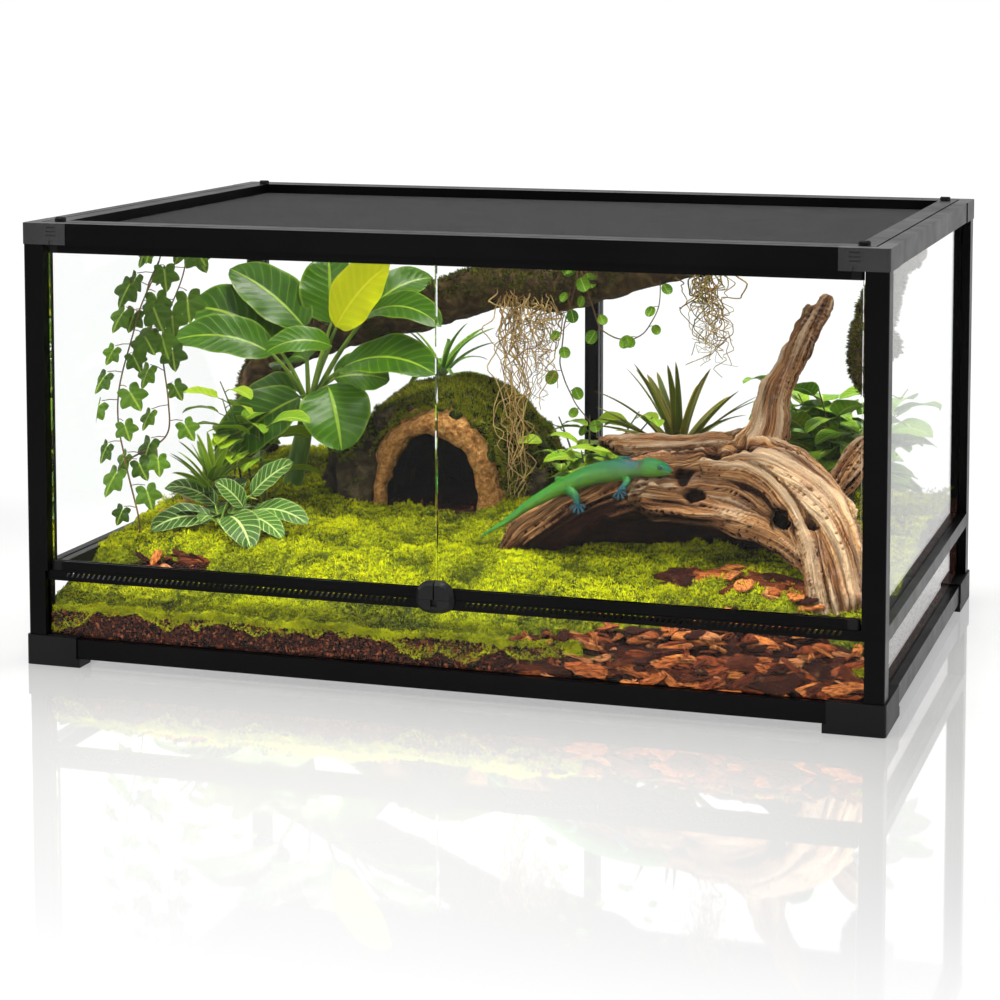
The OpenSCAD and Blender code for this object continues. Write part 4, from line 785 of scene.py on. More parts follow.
def wood_look():
    """Weathered grain with thin dark cracks along the run; by tone, painted shade in the hollows, under
    the limbs and in the heel, and pale ridges that are partly bleached grain and partly painted highlight.
    """
    look = Look("driftwood_grain", 0.76, 0.1)
    flow, tone = look.at("flow"), look.at("tone")
    lines = look.noise(1.0, 4, flow, 0.6)
    fine = look.noise(4.2, 4, look.scaled(flow, 1.8, 1.8, 0.45), 0.65)
    split = look.noise(2.6, 3, look.scaled(flow, 1.5, 1.5, 0.3), 0.6, 0.4)
    both = look.math("ADD", look.times(lines, 0.5), look.times(fine, 0.5))
    tint = look.ramp(both, (0.3, "#2e190d"), (0.41, "#6a3f22"), (0.5, "#a27144"), (0.6, "#cc9e6a"),
                     (0.78, "#f0d0a0"))
    tint = look.over(tint, "#7d4f33", look.noise(15, 4), 0.42, 0.72, 0.6)
    tint = look.over(tint, "#b08872", look.noise(34, 3), 0.55, 0.75, 0.4)
    crack = look.step(look.math("ABSOLUTE", look.math("SUBTRACT", split, 0.5)), 0.0, 0.04, 0.95, 0.0)
    tint = look.mix(crack, tint, look.dim(tint, (0.16, 0.1, 0.07)))
    # Painted shade where the tone is low: hollows, undersides and the heel
    tint = look.shade(look.step(tone, 0.12, 0.56), tint, (0.07, 0.035, 0.02))
    # Paler where the tone is high, on the ridges: partly bleached grain, partly painted highlight
    tint = look.over(tint, "#ecd2ae", tone, 0.66, 0.95, 0.5)
    height = look.math("ADD", look.times(fine, 0.9), look.noise(330, 3))
    return look.done(tint, look.math("SUBTRACT", height, crack), 0.003, 0.95)


def bark_look(name, low, mid, high, scale=1.0, shade=(0.16, 0.13, 0.1)):
    look = Look(name, 0.86, 0.2)
    rough = look.noise(70 * scale, 5, None, 0.7, 0.6)
    tint = look.ramp(rough, (0.3, low), (0.5, mid), (0.72, high))
    height = look.math("SUBTRACT", rough, look.times(look.cells(85 * scale), 0.7))
    return look.done(look.shade(look.step(look.at("tone"), 0.05, 0.5), tint, shade), height, 0.004, 0.8)


# Limbs of the driftwood: place in the plan and radius, all in mm
TRUNK = [[12, -90, 50, 12], [40, -90, 68, 21], [70, -86, 84, 25], [100, -82, 100, 27],
         [156, -75, 122, 30], [200, -75, 134, 30], [244, -78, 142, 31], [290, -84, 150, 33],
         [330, -100, 136, 31], [362, -122, 110, 28], [380, -145, 76, 27], [388, -162, 32, 29]]
CREST = [[250, -66, 160, 22], [190, -56, 158, 16], [140, -52, 160, 12], [110, -52, 166, 5]]
FORK = [[180, -96, 116, 20], [229, -108, 112, 18], [272, -124, 104, 15], [314, -142, 92, 12],
        [346, -160, 74, 10], [366, -168, 52, 9]]
TALL = [[268, -68, 150, 32], [288, -60, 186, 22], [294, -52, 219, 17], [304, -46, 247, 14],
        [324, -36, 288, 12], [342, -30, 322, 8]]
PRONG = [[310, -41, 262, 11], [320, -33, 300, 8], [324, -30, 318, 5]]
STUB = [[345, -110, 120, 20], [366, -92, 134, 15], [392, -70, 176, 11]]
HEEL = [[74, -66, 70, 20], [140, -8, 66, 26], [220, 0, 74, 30], [300, -20, 84, 28],
        [340, -88, 104, 24]]
RIBS = [[[236, -100, 150, 12], [286, -112, 148, 14], [326, -132, 122, 13], [352, -158, 92, 12],
         [366, -176, 50, 13], [372, -180, 28, 15]],
        [[262, -70, 166, 14], [310, -84, 158, 15], [352, -104, 138, 14], [388, -130, 100, 12],
         [402, -148, 60, 12], [404, -154, 34, 13]],
        [[150, -92, 118, 14], [206, -102, 126, 13], [258, -112, 128, 11], [300, -126, 112, 9]],
        [[120, -60, 128, 10], [176, -58, 148, 11], [230, -62, 160, 12], [262, -60, 178, 11]]]
# Hollows and holes, carved in and darkened with painted shade: place in the plan, radius and depth in mm
HOLLOWS = [[222, -118, 126, 13, 17], [302, -118, 138, 10, 16], [322, -140, 112, 15, 18],
           [280, -98, 172, 9, 12], [206, -106, 146, 15, 12], [352, -150, 108, 10, 15],
           [262, -92, 178, 14, 14], [176, -98, 108, 10, 9], [372, -164, 74, 9, 14],
           [120, -104, 96, 9, 7], [240, -92, 164, 12, 10], [296, -62, 214, 5, 6],
           [256, -118, 108, 12, 12]]

raw = Shape()
chains = [TRUNK, CREST, FORK, TALL, PRONG, STUB, HEEL, *RIBS]
lines = [limb(raw, plan(c)) for c in chains]
for k in range(9):
    tip = np.array([18 + 9 * k, -96 + 7 * (k % 3), 44 + 6.5 * k + 5 * (k % 2), 2.2])
    root = np.array([62 + 8 * k, -92, 84 + 2.5 * k, 7.0])
    lines.append(limb(raw, plan([root, (root + tip) / 2 + (0, 0, 3, 0), tip]), 8))
v, f, nrm = remesh(raw, 0.0026)
flow, own = along(v, lines)
grain = grained(flow, 2.4, 9, 3)
ridge = 1 - np.abs(noise(grain, 4)) * 2
fine = 1 - np.abs(noise(grained(flow, 6.5, 14, 9), 8)) * 2
crack = smooth(1 - np.abs(noise(grained(flow, 4.2, 5, 20), 12)) * 9)
size = np.clip(flow[:, 2] / 0.026, 0.35, 1.2)
push = size * (0.0044 * ridge + 0.002 * fine - 0.0072 * crack) + 0.003 * fbm(v * 40, 3, 2)
# Lighter on the ridges, darker in the cracks
tone = 0.54 + 0.3 * ridge + 0.2 * fine - 0.6 * crack
for x, y, z, wide, deep in HOLLOWS:
    d = np.linalg.norm((v - plan([x, y, z])) * (1, 1, 1.15), axis=1) / (wide / 1000)
    d = d + 0.25 * noise(v * 160, 5)
    push -= deep / 1000 * (1 - smooth(d, 0.35, 1.15))
    # Painted shade in the hollows
    tone -= 0.75 * (1 - smooth(d, 0.4, 1.05))
# The left end is darker, more so towards the bottom; the faces turned down get painted shade, and the
# heel's lower part is painted near black as the shade inside the arch
left = 1 - smooth(v[:, 0], 0.11, 0.24)
low = 1 - smooth(v[:, 2], 0.15, 0.185)
tone -= left * (0.06 + 0.3 * low) + 0.16 * left * (fine < 0.1)
push += 0.004 * left * (ridge - 0.3)
# Painted shade on the faces turned down
tone -= 0.5 * smooth(-nrm[:, 2], -0.1, 0.6)
# Painted shade: the heel's lower part near black
inside = (own == chains.index(HEEL)) & (v[:, 2] < 0.185)
tone = np.where(inside, np.minimum(tone, 0.02), tone)
wood = Shape()
wood.add(v + nrm * push[:, None], f, tone=np.clip(tone, 0, 1), flow=grain)
wood_ob = wood.make("driftwood_detail", wood_look())
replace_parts(wood_ob, "driftwood")


# Cave: a loft of arches from the inside, painted near black as shade, over the rim to the back
CAVE_BASE = on_moss(CAVE_X, 40, -6.0)
ROWS, COLS = 74, 56
# Stations of the loft where the rim, the moss and the bark lie
RIM_AT, MOSS_FROM, BARK_FROM = 6.3, 8.3, 9.2
# Half width, height and depth of each arch in mm
STATIONS = [(10, 8, 128), (62, 82, 112), (66, 84, 70), (60, 92, 30), (54, 90, 8), (55, 91, -4),
            (60, 97, -10), (68, 105, -9), (75, 112, -2), (86, 120, 12), (112, 132, 40),
            (126, 138, 105), (106, 116, 138), (84, 92, 162), (20, 20, 168)]

a = np.linspace(0, math.pi, COLS)
loft = np.array([pack(r * np.cos(a), back, h * np.sin(a) ** 0.8) for r, h, back in STATIONS])
loft = curve(loft.reshape(len(loft), -1), ROWS).reshape(ROWS, COLS, 3)
ends = [loft[:, k] - (0, 0, 14) for k in (0, -1)]
loft = np.concatenate([ends[0][:, None], loft, ends[1][:, None]], 1)
v, f = (loft / 1000 + CAVE_BASE).reshape(-1, 3), grid_faces(COLS + 2, ROWS)
cv = (v - CAVE_BASE) * 1000
row = np.repeat(np.arange(ROWS), COLS + 2) / (ROWS - 1) * (len(STATIONS) - 1)
nrm = normals(v, f)
if nrm[np.argmin(cv[:, 1]), 1] > 0:
    nrm = -nrm
rim = np.exp(-((row - RIM_AT) / 1.6) ** 2)
chunk, _ = cells2(np.arctan2(cv[:, 2], cv[:, 0]) * 60, row * 12, 9.5, 3)
push = (rim * (0.0025 * (0.6 - chunk) + 0.003 * fbm(v * 60, 3, 4) + 0.0022 * noise(v * 210, 7))
        + (1 - rim) * (0.006 * fbm(v * 28, 3, 6) + 0.003 * noise(v * 110, 9)))
tone = 0.55 + rim * (0.3 * (0.6 - chunk)) + 0.25 * fbm(v * 90, 2, 3)
v = v + nrm * push[:, None]
shell = Shape()
# Painted shade: the tone falls to 0 towards the inner stations, and the rim look's near-black dim colour
# paints the cave's inside as shade
shell.add(v, f, tone=np.clip(tone * smooth(row, 3.9, 5.1), 0, 1))
cave_ob = shell.make("cork_cave_detail", bark_look("cork_rim", "#56300f", "#b47c3e", "#e6b870", 2.3,
                                                   (0.004, 0.003, 0.002)))
cave_bark = bark_look("cork_bark", "#15110a", "#40351f", "#6f6045")
cave_ob.data.materials.append(cave_bark)
on_mound = (row[f] >= BARK_FROM).any(1)
cave_ob.data.polygons.foreach_set("material_index", on_mound.astype(np.int32))
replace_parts(cave_ob, "cork_cave")
mossy_v, mossy_f = v, f[(row[f] > MOSS_FROM).all(1)]

# Buttresses beside the mound
raw = Shape()
for x, y, z, r in ((-92, 34, 34, 46), (-116, 52, 16, 38), (-132, 40, 4, 22), (-84, 8, 10, 27),
                   (112, 66, 24, 44), (138, 84, 6, 32), (-76, 30, 66, 24), (-60, 26, 96, 16)):
    a, b = np.array([x, y, z]) / 1000 + CAVE_BASE, np.array([x * 0.5, y + 30, z + 12]) / 1000 + CAVE_BASE
    limb(raw, [[*k, r / 1000] for k in (a, (a + b) / 2, b)], 20, 0.008)
v, f, nrm = remesh(raw, 0.0042, 2)
band = noise(v * (70, 70, 16), 5)
v = v + nrm * (0.005 * (1 - np.abs(band) * 2) + 0.004 * fbm(v * 40, 3, 8))[:, None]
cv = (v - CAVE_BASE) * 1000
f = f[(np.hypot(cv[:, 0] / 63, cv[:, 2] / 95) > 1)[f].all(1)]
side = Shape()
side.add(v, f, tone=np.clip(0.6 - 0.5 * np.abs(band) + 0.3 * fbm(v * 80, 2, 3), 0, 1))
side.make("cave_buttresses", cave_bark)

mossy = Shape()
at, up = scatter(mossy_v, mossy_f, 15000)
inward = (up[:, 2] < -0.2) | (((at - CAVE_BASE) * up).sum(1) < 0)
up = np.where(inward[:, None], -up, up)
keep = (up[:, 2] + 0.5 * noise(at * 22, 3) > 0.12) & (at[:, 2] > 0.1)
at2, up2 = scatter(v, f, 6500)
keep2 = (up2[:, 2] + 0.7 * noise(at2 * 24, 4) > 0.42) & (at2[:, 2] > 0.09)
at, up = join(at[keep], at2[keep2]), join(up[keep], up2[keep2])
tufts(mossy, at + up * 0.003, up, between(3.5, 6.5, len(at)), 0.0017, 4,
      np.clip(0.35 + 0.4 * noise(at * 45, 6), 0, 1))
mossy.make("cave_moss", blade_look("cave_moss_leaves", "#3a4a08", "#66780c", "#8f9616", "#b4ae2c"))
pads, count = Shape(), 420
pick = rng.choice(len(at), count, replace=False)
size = between(5, 11, count)[:, None, None]
ball, ball_f = sphere(7, 10)
spot = at[pick][:, None]
squash = 1 - 0.55 * np.abs((ball[None] * up[pick][:, None]).sum(-1))[..., None]
pads.many(spot + ball * size * squash * (1 + 0.2 * noise(ball * 3 + spot * 90, 5)[..., None]),
          ball_f, rng.uniform(0.2, 0.6, count))
pads.make("cave_moss_pads", moss_look("dark_moss_cushion", "#141c03", "#2c3a06", "#4c5810", "#6a6c18"))

# Climbing branch and the stick at the right
CLIMBER = [[-398, 190, 36, 20], [-400, 188, 120, 22], [-385, 184, 196, 24], [-284, 170, 246, 25],
           [-178, 150, 275, 26], [-69, 132, 308, 24], [2, 124, 307, 23], [63, 118, 321, 21],
           [110, 114, 334, 17], [170, 110, 344, 14], [205, 110, 350, 7]]
STICK = [[430.5, 8, 376, 9.2], [404, 6, 352, 13], [388, 2, 300, 18], [382, 0, 258, 18], [380, 0, 232, 10]]
raw = Shape()
lines = [limb(raw, plan(c)) for c in (CLIMBER, STICK, [[386, 1, 290, 15], [404, 20, 268, 9]])]
v, f, nrm = remesh(raw, 0.0036)
flow, _ = along(v, lines)
ridge = 1 - np.abs(noise(grained(flow, 2.6, 22, 3, 2.0), 4)) * 2
v = v + nrm * np.minimum(0.0025 * ridge + 0.003 * fbm(v * 55, 3, 2), 0.003)[:, None]
v = np.minimum(v, (0.4412, 1, 0.4471))
branch = Shape()
branch.add(v, f, tone=np.clip(0.5 + 0.3 * ridge, 0, 1), flow=flow)
branch_ob = branch.make("climbing_branch", bark_look("branch_bark", "#1a1208", "#46331a", "#766039", 1.2))
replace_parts(branch_ob, "mossy_branches")
at, up = scatter(v, f, 11000)
keep = (up[:, 2] + 0.8 * noise(at * 26, 4) > 0.1) | (at[:, 0] > 0.3)
keep &= (at[:, 2] < 0.441) & (at[:, 0] < 0.434)
at, up = at[keep], up[keep]
fuzz = Shape()
tufts(fuzz, at, up, between(3, 6, len(at)), 0.0016, 4, np.clip(0.3 + 0.4 * noise(at * 50, 6), 0, 1))
fuzz.make("branch_moss", blade_look("dark_moss_leaves", "#1e2a04", "#3c4c08", "#626a12", "#86841e"))


# Hanging roots: curly strands that keep to their bundle
def root_look():
    look = Look("hanging_roots", 0.7, 0.3)
    tint = look.ramp(look.at("tone"), (0.0, "#80602a"), (0.4, "#b48e48"), (0.75, "#d8bd7c"),
                     (1.0, "#86822e"))
    tint = look.shade(look.noise(160, 3), tint, (0.62, 0.58, 0.5))
    return look.done(tint, look.noise(900, 3), 0.0005, 0.6)


# Top, foot, widths at both, number of strands and how far they reach
BUNDLES = (((-50, 118, 312), (-8, -6, 70), 20, 9, 24, 1.0),
           ((-14, 116, 312), (-4, 52, 176), 24, 15, 26, 0.95),
           ((-34, 112, 310), (-14, 60, 200), 32, 18, 22, 0.8),
           ((182, 104, 344), (192, 98, 222), 26, 20, 34, 1.0))
roots = Shape()
for top, foot, wide0, wide1, count, reach in BUNDLES:
    for k in range(count):
        start = np.array(top) + rng.normal(0, 1, 3) * (wide0 * 0.5, 7, 4)
        end = np.array(foot) + rng.normal(0, 1, 3) * (wide1 * 0.55, 8, 0)
        t = np.linspace(0, reach * (0.35 + 0.65 * rng.random() ** 0.7), 46)
        seed = rng.random(3) * 50
        slow, fast = (pack(*(noise(pack(t * q, seed[j], 7 * j), 3) for j in range(3))) for q in (5, 17))
        t = t[:, None]
        path = (start * (1 - t) + end * t
                + slow * (19, 12, 6) * smooth(t * 5) + fast * (12, 8, 7) * smooth(t * 5))
        radius = rng.uniform(0.45, 1.0) * np.linspace(1.1, 0.5, 46) / 1000
        path[:, 2] = np.maximum(path[:, 2], ground(path[:, 0], path[:, 1]) + 2)
        roots.add(*tube(plan(path), radius, 4), np.clip(rng.normal(0.55, 0.22), 0, 1))
roots.make("hanging_roots", root_look())


# Loose bark: flaky chips of broken outline
def chip_look():
    look = Look("bark_chips", 0.85, 0.1)
    grain = look.noise(9, 4, look.scaled(look.at("UV"), 0.35, 2.4, 1), 0.65)
    tint = look.ramp(look.at("tone"), (0.0, "#160704"), (0.3, "#4c1e0e"), (0.6, "#9c4a20"),
                     (0.85, "#dc8640"), (1.0, "#c48a60"))
    tint = look.shade(look.step(grain, 0.38, 0.58), tint, (0.24, 0.17, 0.15))
    tint = look.over(tint, look.dim(tint, (0.3, 0.24, 0.22)), look.noise(260, 4), 0.5, 0.7, 0.7)
    tint = look.over(tint, "#a9724c", look.noise(120, 4), 0.55, 0.8, 0.35)
    return look.done(tint, look.math("ADD", look.times(grain, 1.4), look.noise(600, 3)), 0.0018, 0.9)


# Outline and height of each layer of a chip
LEVELS = ((0.0, -0.5), (0.86, -0.5), (1.0, -0.2), (0.93, 0.02), (0.97, 0.2), (0.84, 0.5), (0.5, 0.6),
          (0.0, 0.55))


def chip(shape, at, heading, tilt, roll, length, width, thick):
    """Broken flake of bark with a layered edge."""
    m = 18
    a = ring_of(m)
    r = 1 + rng.normal(0, 0.09, m) + 0.12 * np.cos(2 * a + rng.random() * 6)
    box = 1 / np.maximum(np.abs(np.cos(a)), np.abs(np.sin(a))) ** 0.6
    outline = pack(np.cos(a) * r * box * length / 2, np.sin(a) * r * box * width / 2)
    bow = rng.uniform(-0.3, 0.5) * thick
    v = []
    for q, h in LEVELS:
        x, y = (q * outline * (1 + rng.normal(0, 0.02, (m, 1)))).T
        v.append(pack(x, y, h * thick + rng.normal(0, 0.06, m) * thick - bow * (y / (width / 2)) ** 2 * 2))
    v = np.concatenate(v)
    uv = v[:, :2] * 30 + rng.random(2) * 5
    ch, sh, ct, st, cr, sr = (fn(k) for k in (heading, tilt, roll) for fn in (math.cos, math.sin))
    turn = (np.array([[ch, -sh, 0], [sh, ch, 0], [0, 0, 1]])
            @ np.array([[ct, 0, st], [0, 1, 0], [-st, 0, ct]])
            @ np.array([[1, 0, 0], [0, cr, -sr], [0, sr, cr]]))
    shape.add(v @ turn.T + at, grid_faces(m, len(LEVELS), True), uv, rng.uniform(0.1, 0.95))


# Larger chips: place in the plan, heading, length, width and tilt
BARK_AT = [[232, -122, 8, 78, 34, 6], [276, -136, -8, 84, 36, -5], [318, -150, 12, 66, 34, 8],
           [250, -150, 15, 62, 30, 6], [300, -172, -14, 62, 32, -5], [338, -176, 20, 54, 30, 8],
           [214, -138, -20, 46, 22, 7], [356, -190, -10, 44, 26, -6], [272, -112, 24, 52, 24, 5],
           [235, -226, 15, 62, 34, 6], [292, -232, -10, 58, 32, -5], [348, -232, 20, 50, 32, 8],
           [262, -256, 5, 62, 24, -4], [322, -262, -20, 44, 26, 5], [205, -262, 30, 36, 22, -8],
           [378, -266, 10, 38, 22, 6], [240, -280, 25, 38, 14, -6], [152, -280, -15, 40, 16, 7],
           [406, -276, -20, 36, 16, 6], [-312, -196, 20, 46, 18, 8], [-352, -214, -15, 34, 16, 6]]
chips = Shape()
for x, y, heading, length, width, tilt in BARK_AT:
    for k in range(3):
        at = on_moss(x + 5 * k * rng.normal(), y + 2 * k, 1.5 + 2.2 * k)
        chip(chips, at, math.radians(heading + 25 * k * rng.normal()),
             math.radians(tilt * 0.6 + 4 * rng.normal()), math.radians(6 * rng.normal() + 14),
             length * (0.95 - 0.12 * k) / 1000, width * (0.9 - 0.12 * k) / 1000, between(2.6, 4.2, None))
for k in range(150):
    zx, zy, rx, ry = BARK_ZONE[(0, 0, 0, 1, 3, 2)[k % 6]]
    a, q = rng.random() * TAU, math.sqrt(rng.random())
    x, y = zx + rx * q * math.cos(a), zy + ry * q * math.sin(a)
    if y < -284 or abs(x) > 424:
        continue
    size = rng.uniform(12, 34) * (0.75 if rx < 60 else 1)
    chip(chips, on_moss(x, max(y, -282), rng.uniform(-2, 6)), rng.random() * TAU, rng.normal() * 0.28,
         rng.normal() * 0.3, size / 1000, size * rng.uniform(0.3, 0.6) / 1000, between(1.4, 3.0, None))
chip_skin = chip_look()
chips_ob = chips.make("bark_chips_detail", chip_skin)
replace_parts(chips_ob, "bark_pieces")

# Bark pressed against the front glass, in the layer that the soil leaves free
pressed = Shape()
for k in range(190):
    x = 96 + 334 * rng.random() ** 0.9
    z = rng.uniform(25, 36 + 24 * smooth(x, 90, 190))
    size = rng.uniform(14, 46) * (0.8 if z < 32 else 1)
    at = np.array([x, FRONT + 1.0 + 6.0 * (k % 6) / 5, max(z, 24 + size * 0.14)]) / 1000
    chip(pressed, at, rng.normal() * 0.06, rng.normal() * 0.3, math.pi / 2 + rng.normal() * 0.3,
         size / 1000, size * rng.uniform(0.2, 0.42) / 1000, 0.0016)
    np.clip(pressed.v[-1], (-1, (FRONT + 0.15) / 1000, 0.019), (0.4405, 1, 1), out=pressed.v[-1])
pressed.make("bark_at_glass", chip_skin)


# ---------- leaves ----------

def leaf(shape, base, yaw, a, b, length, width, roll=0.0, fold=0.22, full=0.8, wave=0.0,
         curl=0.0, tone=0.5, nu=9, nv=15, point=0.8, quilt=0.0):
    """Leaf from a real point: angles in degrees; the pitch runs from a to b."""
    yaw, a, b, roll = (math.radians(k) for k in (yaw, a, b, roll))
    t = np.linspace(0, 1, nv)
    u = np.linspace(-1, 1, nu)
    edge, row = np.abs(u), t[:, None]
    step = length / (nv - 1) * way(yaw + curl * t[:-1], a + (b - a) * (t[:-1] + t[1:]) / 2)
    mid = base + join([[0, 0, 0]], np.cumsum(step, 0))
    p, h = a + (b - a) * t, yaw + curl * t
    across = pack(-np.sin(h), np.cos(h), 0)
    above = pack(-np.sin(p) * np.cos(h), -np.sin(p) * np.sin(h), np.cos(p))
    side = math.cos(roll) * across + math.sin(roll) * above
    up = math.cos(roll) * above - math.sin(roll) * across
    half = (0.0003 + width / 2 * np.sin(np.pi * t ** full) ** point)[:, None, None]
    lift = fold * edge ** 1.3 - 0.12 * fold * (edge > 0.9)
    ripple = wave * width * np.sin(row * 17 + 2 * np.sign(u) + 9 * tone) * edge ** 2
    veins = quilt * width * np.cos(TAU * 9 * (row - 0.28 * edge)) * edge * (1 - edge)
    v = (mid[:, None] + half * (u[:, None] * side[:, None] + lift[:, None] * up[:, None])
         + (ripple + veins)[..., None] * up[:, None])
    shape.add(v, grid_faces(nu, nv), pack((u + 1) / 2, row), tone)


def leaf_to(shape, a, b, width, sag, roll, **more):
    """Leaf between two plan points that bows by `sag` degrees at each end."""
    p, q = plan(a), plan(b)
    v = q - p
    slope = math.degrees(math.atan2(v[2], math.hypot(v[0], v[1])))
    leaf(shape, p, math.degrees(math.atan2(v[1], v[0])), slope + sag, slope - sag,
         np.linalg.norm(v) * (1 + sag / 400), width, roll, **more)


def stalk(shape, points, r0, r1, sides=7, count=14, tone=0.5):
    shape.add(*tube(curve(points, count), np.linspace(r0, r1, count), sides), tone)


def leaf_look(name, dark, light, vein, rough, ribs, vein_width, coat, under=0.12, pale=0.45,
              mid_width=0.035):
    look = Look(name, shine=0.14, Coat_Weight=coat, Coat_Roughness=0.2,
                Subsurface_Weight=under, Subsurface_Scale=0.004)
    across, run, _ = look.split("UV")
    off = look.math("ABSOLUTE", look.math("SUBTRACT", across, 0.5))
    run = look.math("SUBTRACT", run, look.times(off, 0.42))
    run = look.math("ADD", run, look.times(look.noise(60, 2), 0.02))
    wave = look.math("PINGPONG", look.times(run, ribs), 0.5)
    side = look.step(wave, 0.0, vein_width * 3, 1.0, 0.0)
    mid = look.step(off, mid_width * 0.4, mid_width, 1.0, 0.0)
    veins = look.math("MAXIMUM", look.times(side, pale), mid)
    tint = look.mix(look.at("tone"), dark, light)
    tint = look.over(tint, light, look.noise(45, 4), 0.35, 0.7, 0.4)
    tint = look.mix(look.times(wave, 0.5), tint, dark)
    tint = look.over(tint, vein, off, 0.44, 0.5, 0.5)
    tint = look.mix(look.times(veins, 0.85), tint, vein)
    look.set(look.b, Roughness=look.step(look.noise(120, 3), 0.3, 0.8, rough, rough + 0.15))
    height = look.math("SUBTRACT", look.times(wave, 0.8), look.times(veins, 0.5))
    return look.done(tint, height, 0.0008, 0.7)


def blade_stripes(name, dark, light, edge):
    look = Look(name, 0.45, 0.2, Subsurface_Weight=0.1, Subsurface_Scale=0.003)
    across, run, _ = look.split("UV")
    lines = look.noise(1.0, 2, look.scaled(look.at("UV"), 26, 1.2, 1))
    off = look.math("ABSOLUTE", look.math("SUBTRACT", across, 0.5))
    tint = look.mix(look.at("tone"), dark, light)
    tint = look.over(tint, dark, lines, 0.42, 0.66, 0.55)
    tint = look.over(tint, edge, off, 0.3, 0.5, 0.6)
    tint = look.over(tint, "#9a7b3c", run, 0.86, 1.0, 0.5)
    # Painted shade at the foot of each blade, towards the crown
    return look.done(look.shade(look.step(run, 0.0, 0.2), tint, (0.55, 0.5, 0.35)), lines, 0.0006, 0.6)


def stem_look(name, dark, light):
    look = Look(name, 0.55, 0.35)
    run = look.noise(60, 3, look.scaled(look.at(), 1, 1, 0.25))
    height = look.noise(400, 3, look.scaled(look.at(), 1, 1, 0.3))
    return look.done(look.mix(look.step(run, 0.3, 0.7), dark, light), height, 0.0006, 0.6)


green_stem = stem_look("green_stem", "#456c12", "#86a02e")

# Broad-leaved plant: foot and tip of each leaf, width and sag; one leaf is young
BROAD = [[[-288, 70, 258], [-384, 78, 322], 46, 14], [[-263, 90, 262], [-279, 122, 338], 50, 12],
         [[-245, 60, 262], [-172, 38, 338], 46, 14], [[-214, 70, 274], [-108, 28, 272], 32, 34],
         [[-216, 98, 280], [-160, 150, 312], 34, 24], [[-318, 60, 236], [-424, 50, 278], 58, 26],
         [[-314, 36, 230], [-422, 4, 246], 40, 26], [[-244, 40, 243], [-306, 0, 238], 26, 30],
         [[-234, 48, 216], [-104, -4, 222], 46, 26], [[-247, 38, 196], [-214, -6, 132], 56, 18],
         [[-281, 36, 182], [-352, -26, 112], 50, 20], [[-298, 70, 184], [-376, 74, 142], 44, 24],
         [[-262, 96, 196], [-206, 126, 192], 40, 20], [[-300, 104, 214], [-352, 150, 196], 42, 30]]
YOUNG = 2
CROWN = np.array([-282.0, 66.0, 166.0])


def to_front(a, b, most):
    """Roll in degrees that turns a leaf's face to the front."""
    return most * math.cos(math.atan2(b[1] - a[1], b[0] - a[0]) - 0.3)


big, young, stems = Shape(), Shape(), Shape()
for k, (a, b, width, sag) in enumerate(BROAD):
    leaf_to(young if k == YOUNG else big, a, b, width * 1.45 / 1000, sag,
            82 if k == YOUNG else to_front(a, b, 44), fold=0.2, wave=0.025, full=0.85, point=0.56,
            tone=0.35 + 0.5 * ((k * 7) % 5) / 5, nu=13, nv=25, quilt=0.035)
    stalk(stems, plan([CROWN, (CROWN + a) / 2 + (0, 0, 6), a]), 0.0032, 0.0018)
foot = np.array([-302, 58, ground(-302.0, 58.0) - 4])
for k in range(5):
    lean = 6 * way(k * 1.3)
    stalk(stems, plan([foot + lean, (foot + CROWN) / 2 + lean, CROWN + lean * 0.6]),
          0.0062, 0.005, 9, 14, 0.4)
big_ob = big.make("broad_leaves", leaf_look("broad_leaf", "#1a3a01", "#4a7c02", "#94b430", 0.3, 10,
                                            0.022, 0.09, 0.08))
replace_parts(big_ob, "broadleaf_plant")
young.make("young_leaf", leaf_look("young_leaf", "#c2cc00", "#e6ea00", "#f4f430", 0.5, 9, 0.03, 0.01, 0.2))
stems.make("broad_leaf_stems", green_stem)

# Low plants in front: foot and tip of each veined leaf, width and sag
VEINED = [[[-326, -115, 66], [-382, -150, 56], 30, 30], [[-299, -130, 74], [-258, -166, 48], 34, 34],
          [[-286, -96, 92], [-242, -84, 128], 30, 14], [[-292, -106, 80], [-320, -116, 108], 26, 16],
          [[-280, -106, 76], [-212, -118, 68], 26, 26], [[-284, -118, 72], [-228, -150, 58], 22, 24],
          [[-330, -96, 78], [-392, -92, 92], 24, 30], [[-318, -86, 84], [-330, -34, 96], 26, 26]]
veined, low_stems = Shape(), Shape()
root = np.array([-318, -112, ground(-318.0, -112.0)])
for k, (a, b, width, sag) in enumerate(VEINED):
    leaf_to(veined, a, b, width * 1.2 / 1000, sag, to_front(a, b, 34), fold=0.16, wave=0.02, full=0.82,
            point=0.55, tone=0.25 + 0.1 * (k % 6), nu=11, nv=21, quilt=0.06)
    stalk(low_stems, plan([root, (root + a) / 2 + (0, 0, 3), a]), 0.0018, 0.0011, 6, 10)
for k in range(5):
    yaw = 200 + 70 * k
    leaf(veined, plan(root + (0, 0, 14)) + way(math.radians(yaw)) * 0.012, yaw, 35, -25, 0.04, 0.024,
         fold=0.16, full=0.75, point=0.6, tone=0.3 + 0.1 * k, quilt=0.06)
veined_ob = veined.make("veined_leaves", leaf_look("veined_leaf", "#1b3806", "#48701e", "#b0c078", 0.42,
                                                   8, 0.04, 0.06, pale=0.8, mid_width=0.05))
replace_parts(veined_ob, "low_plants")


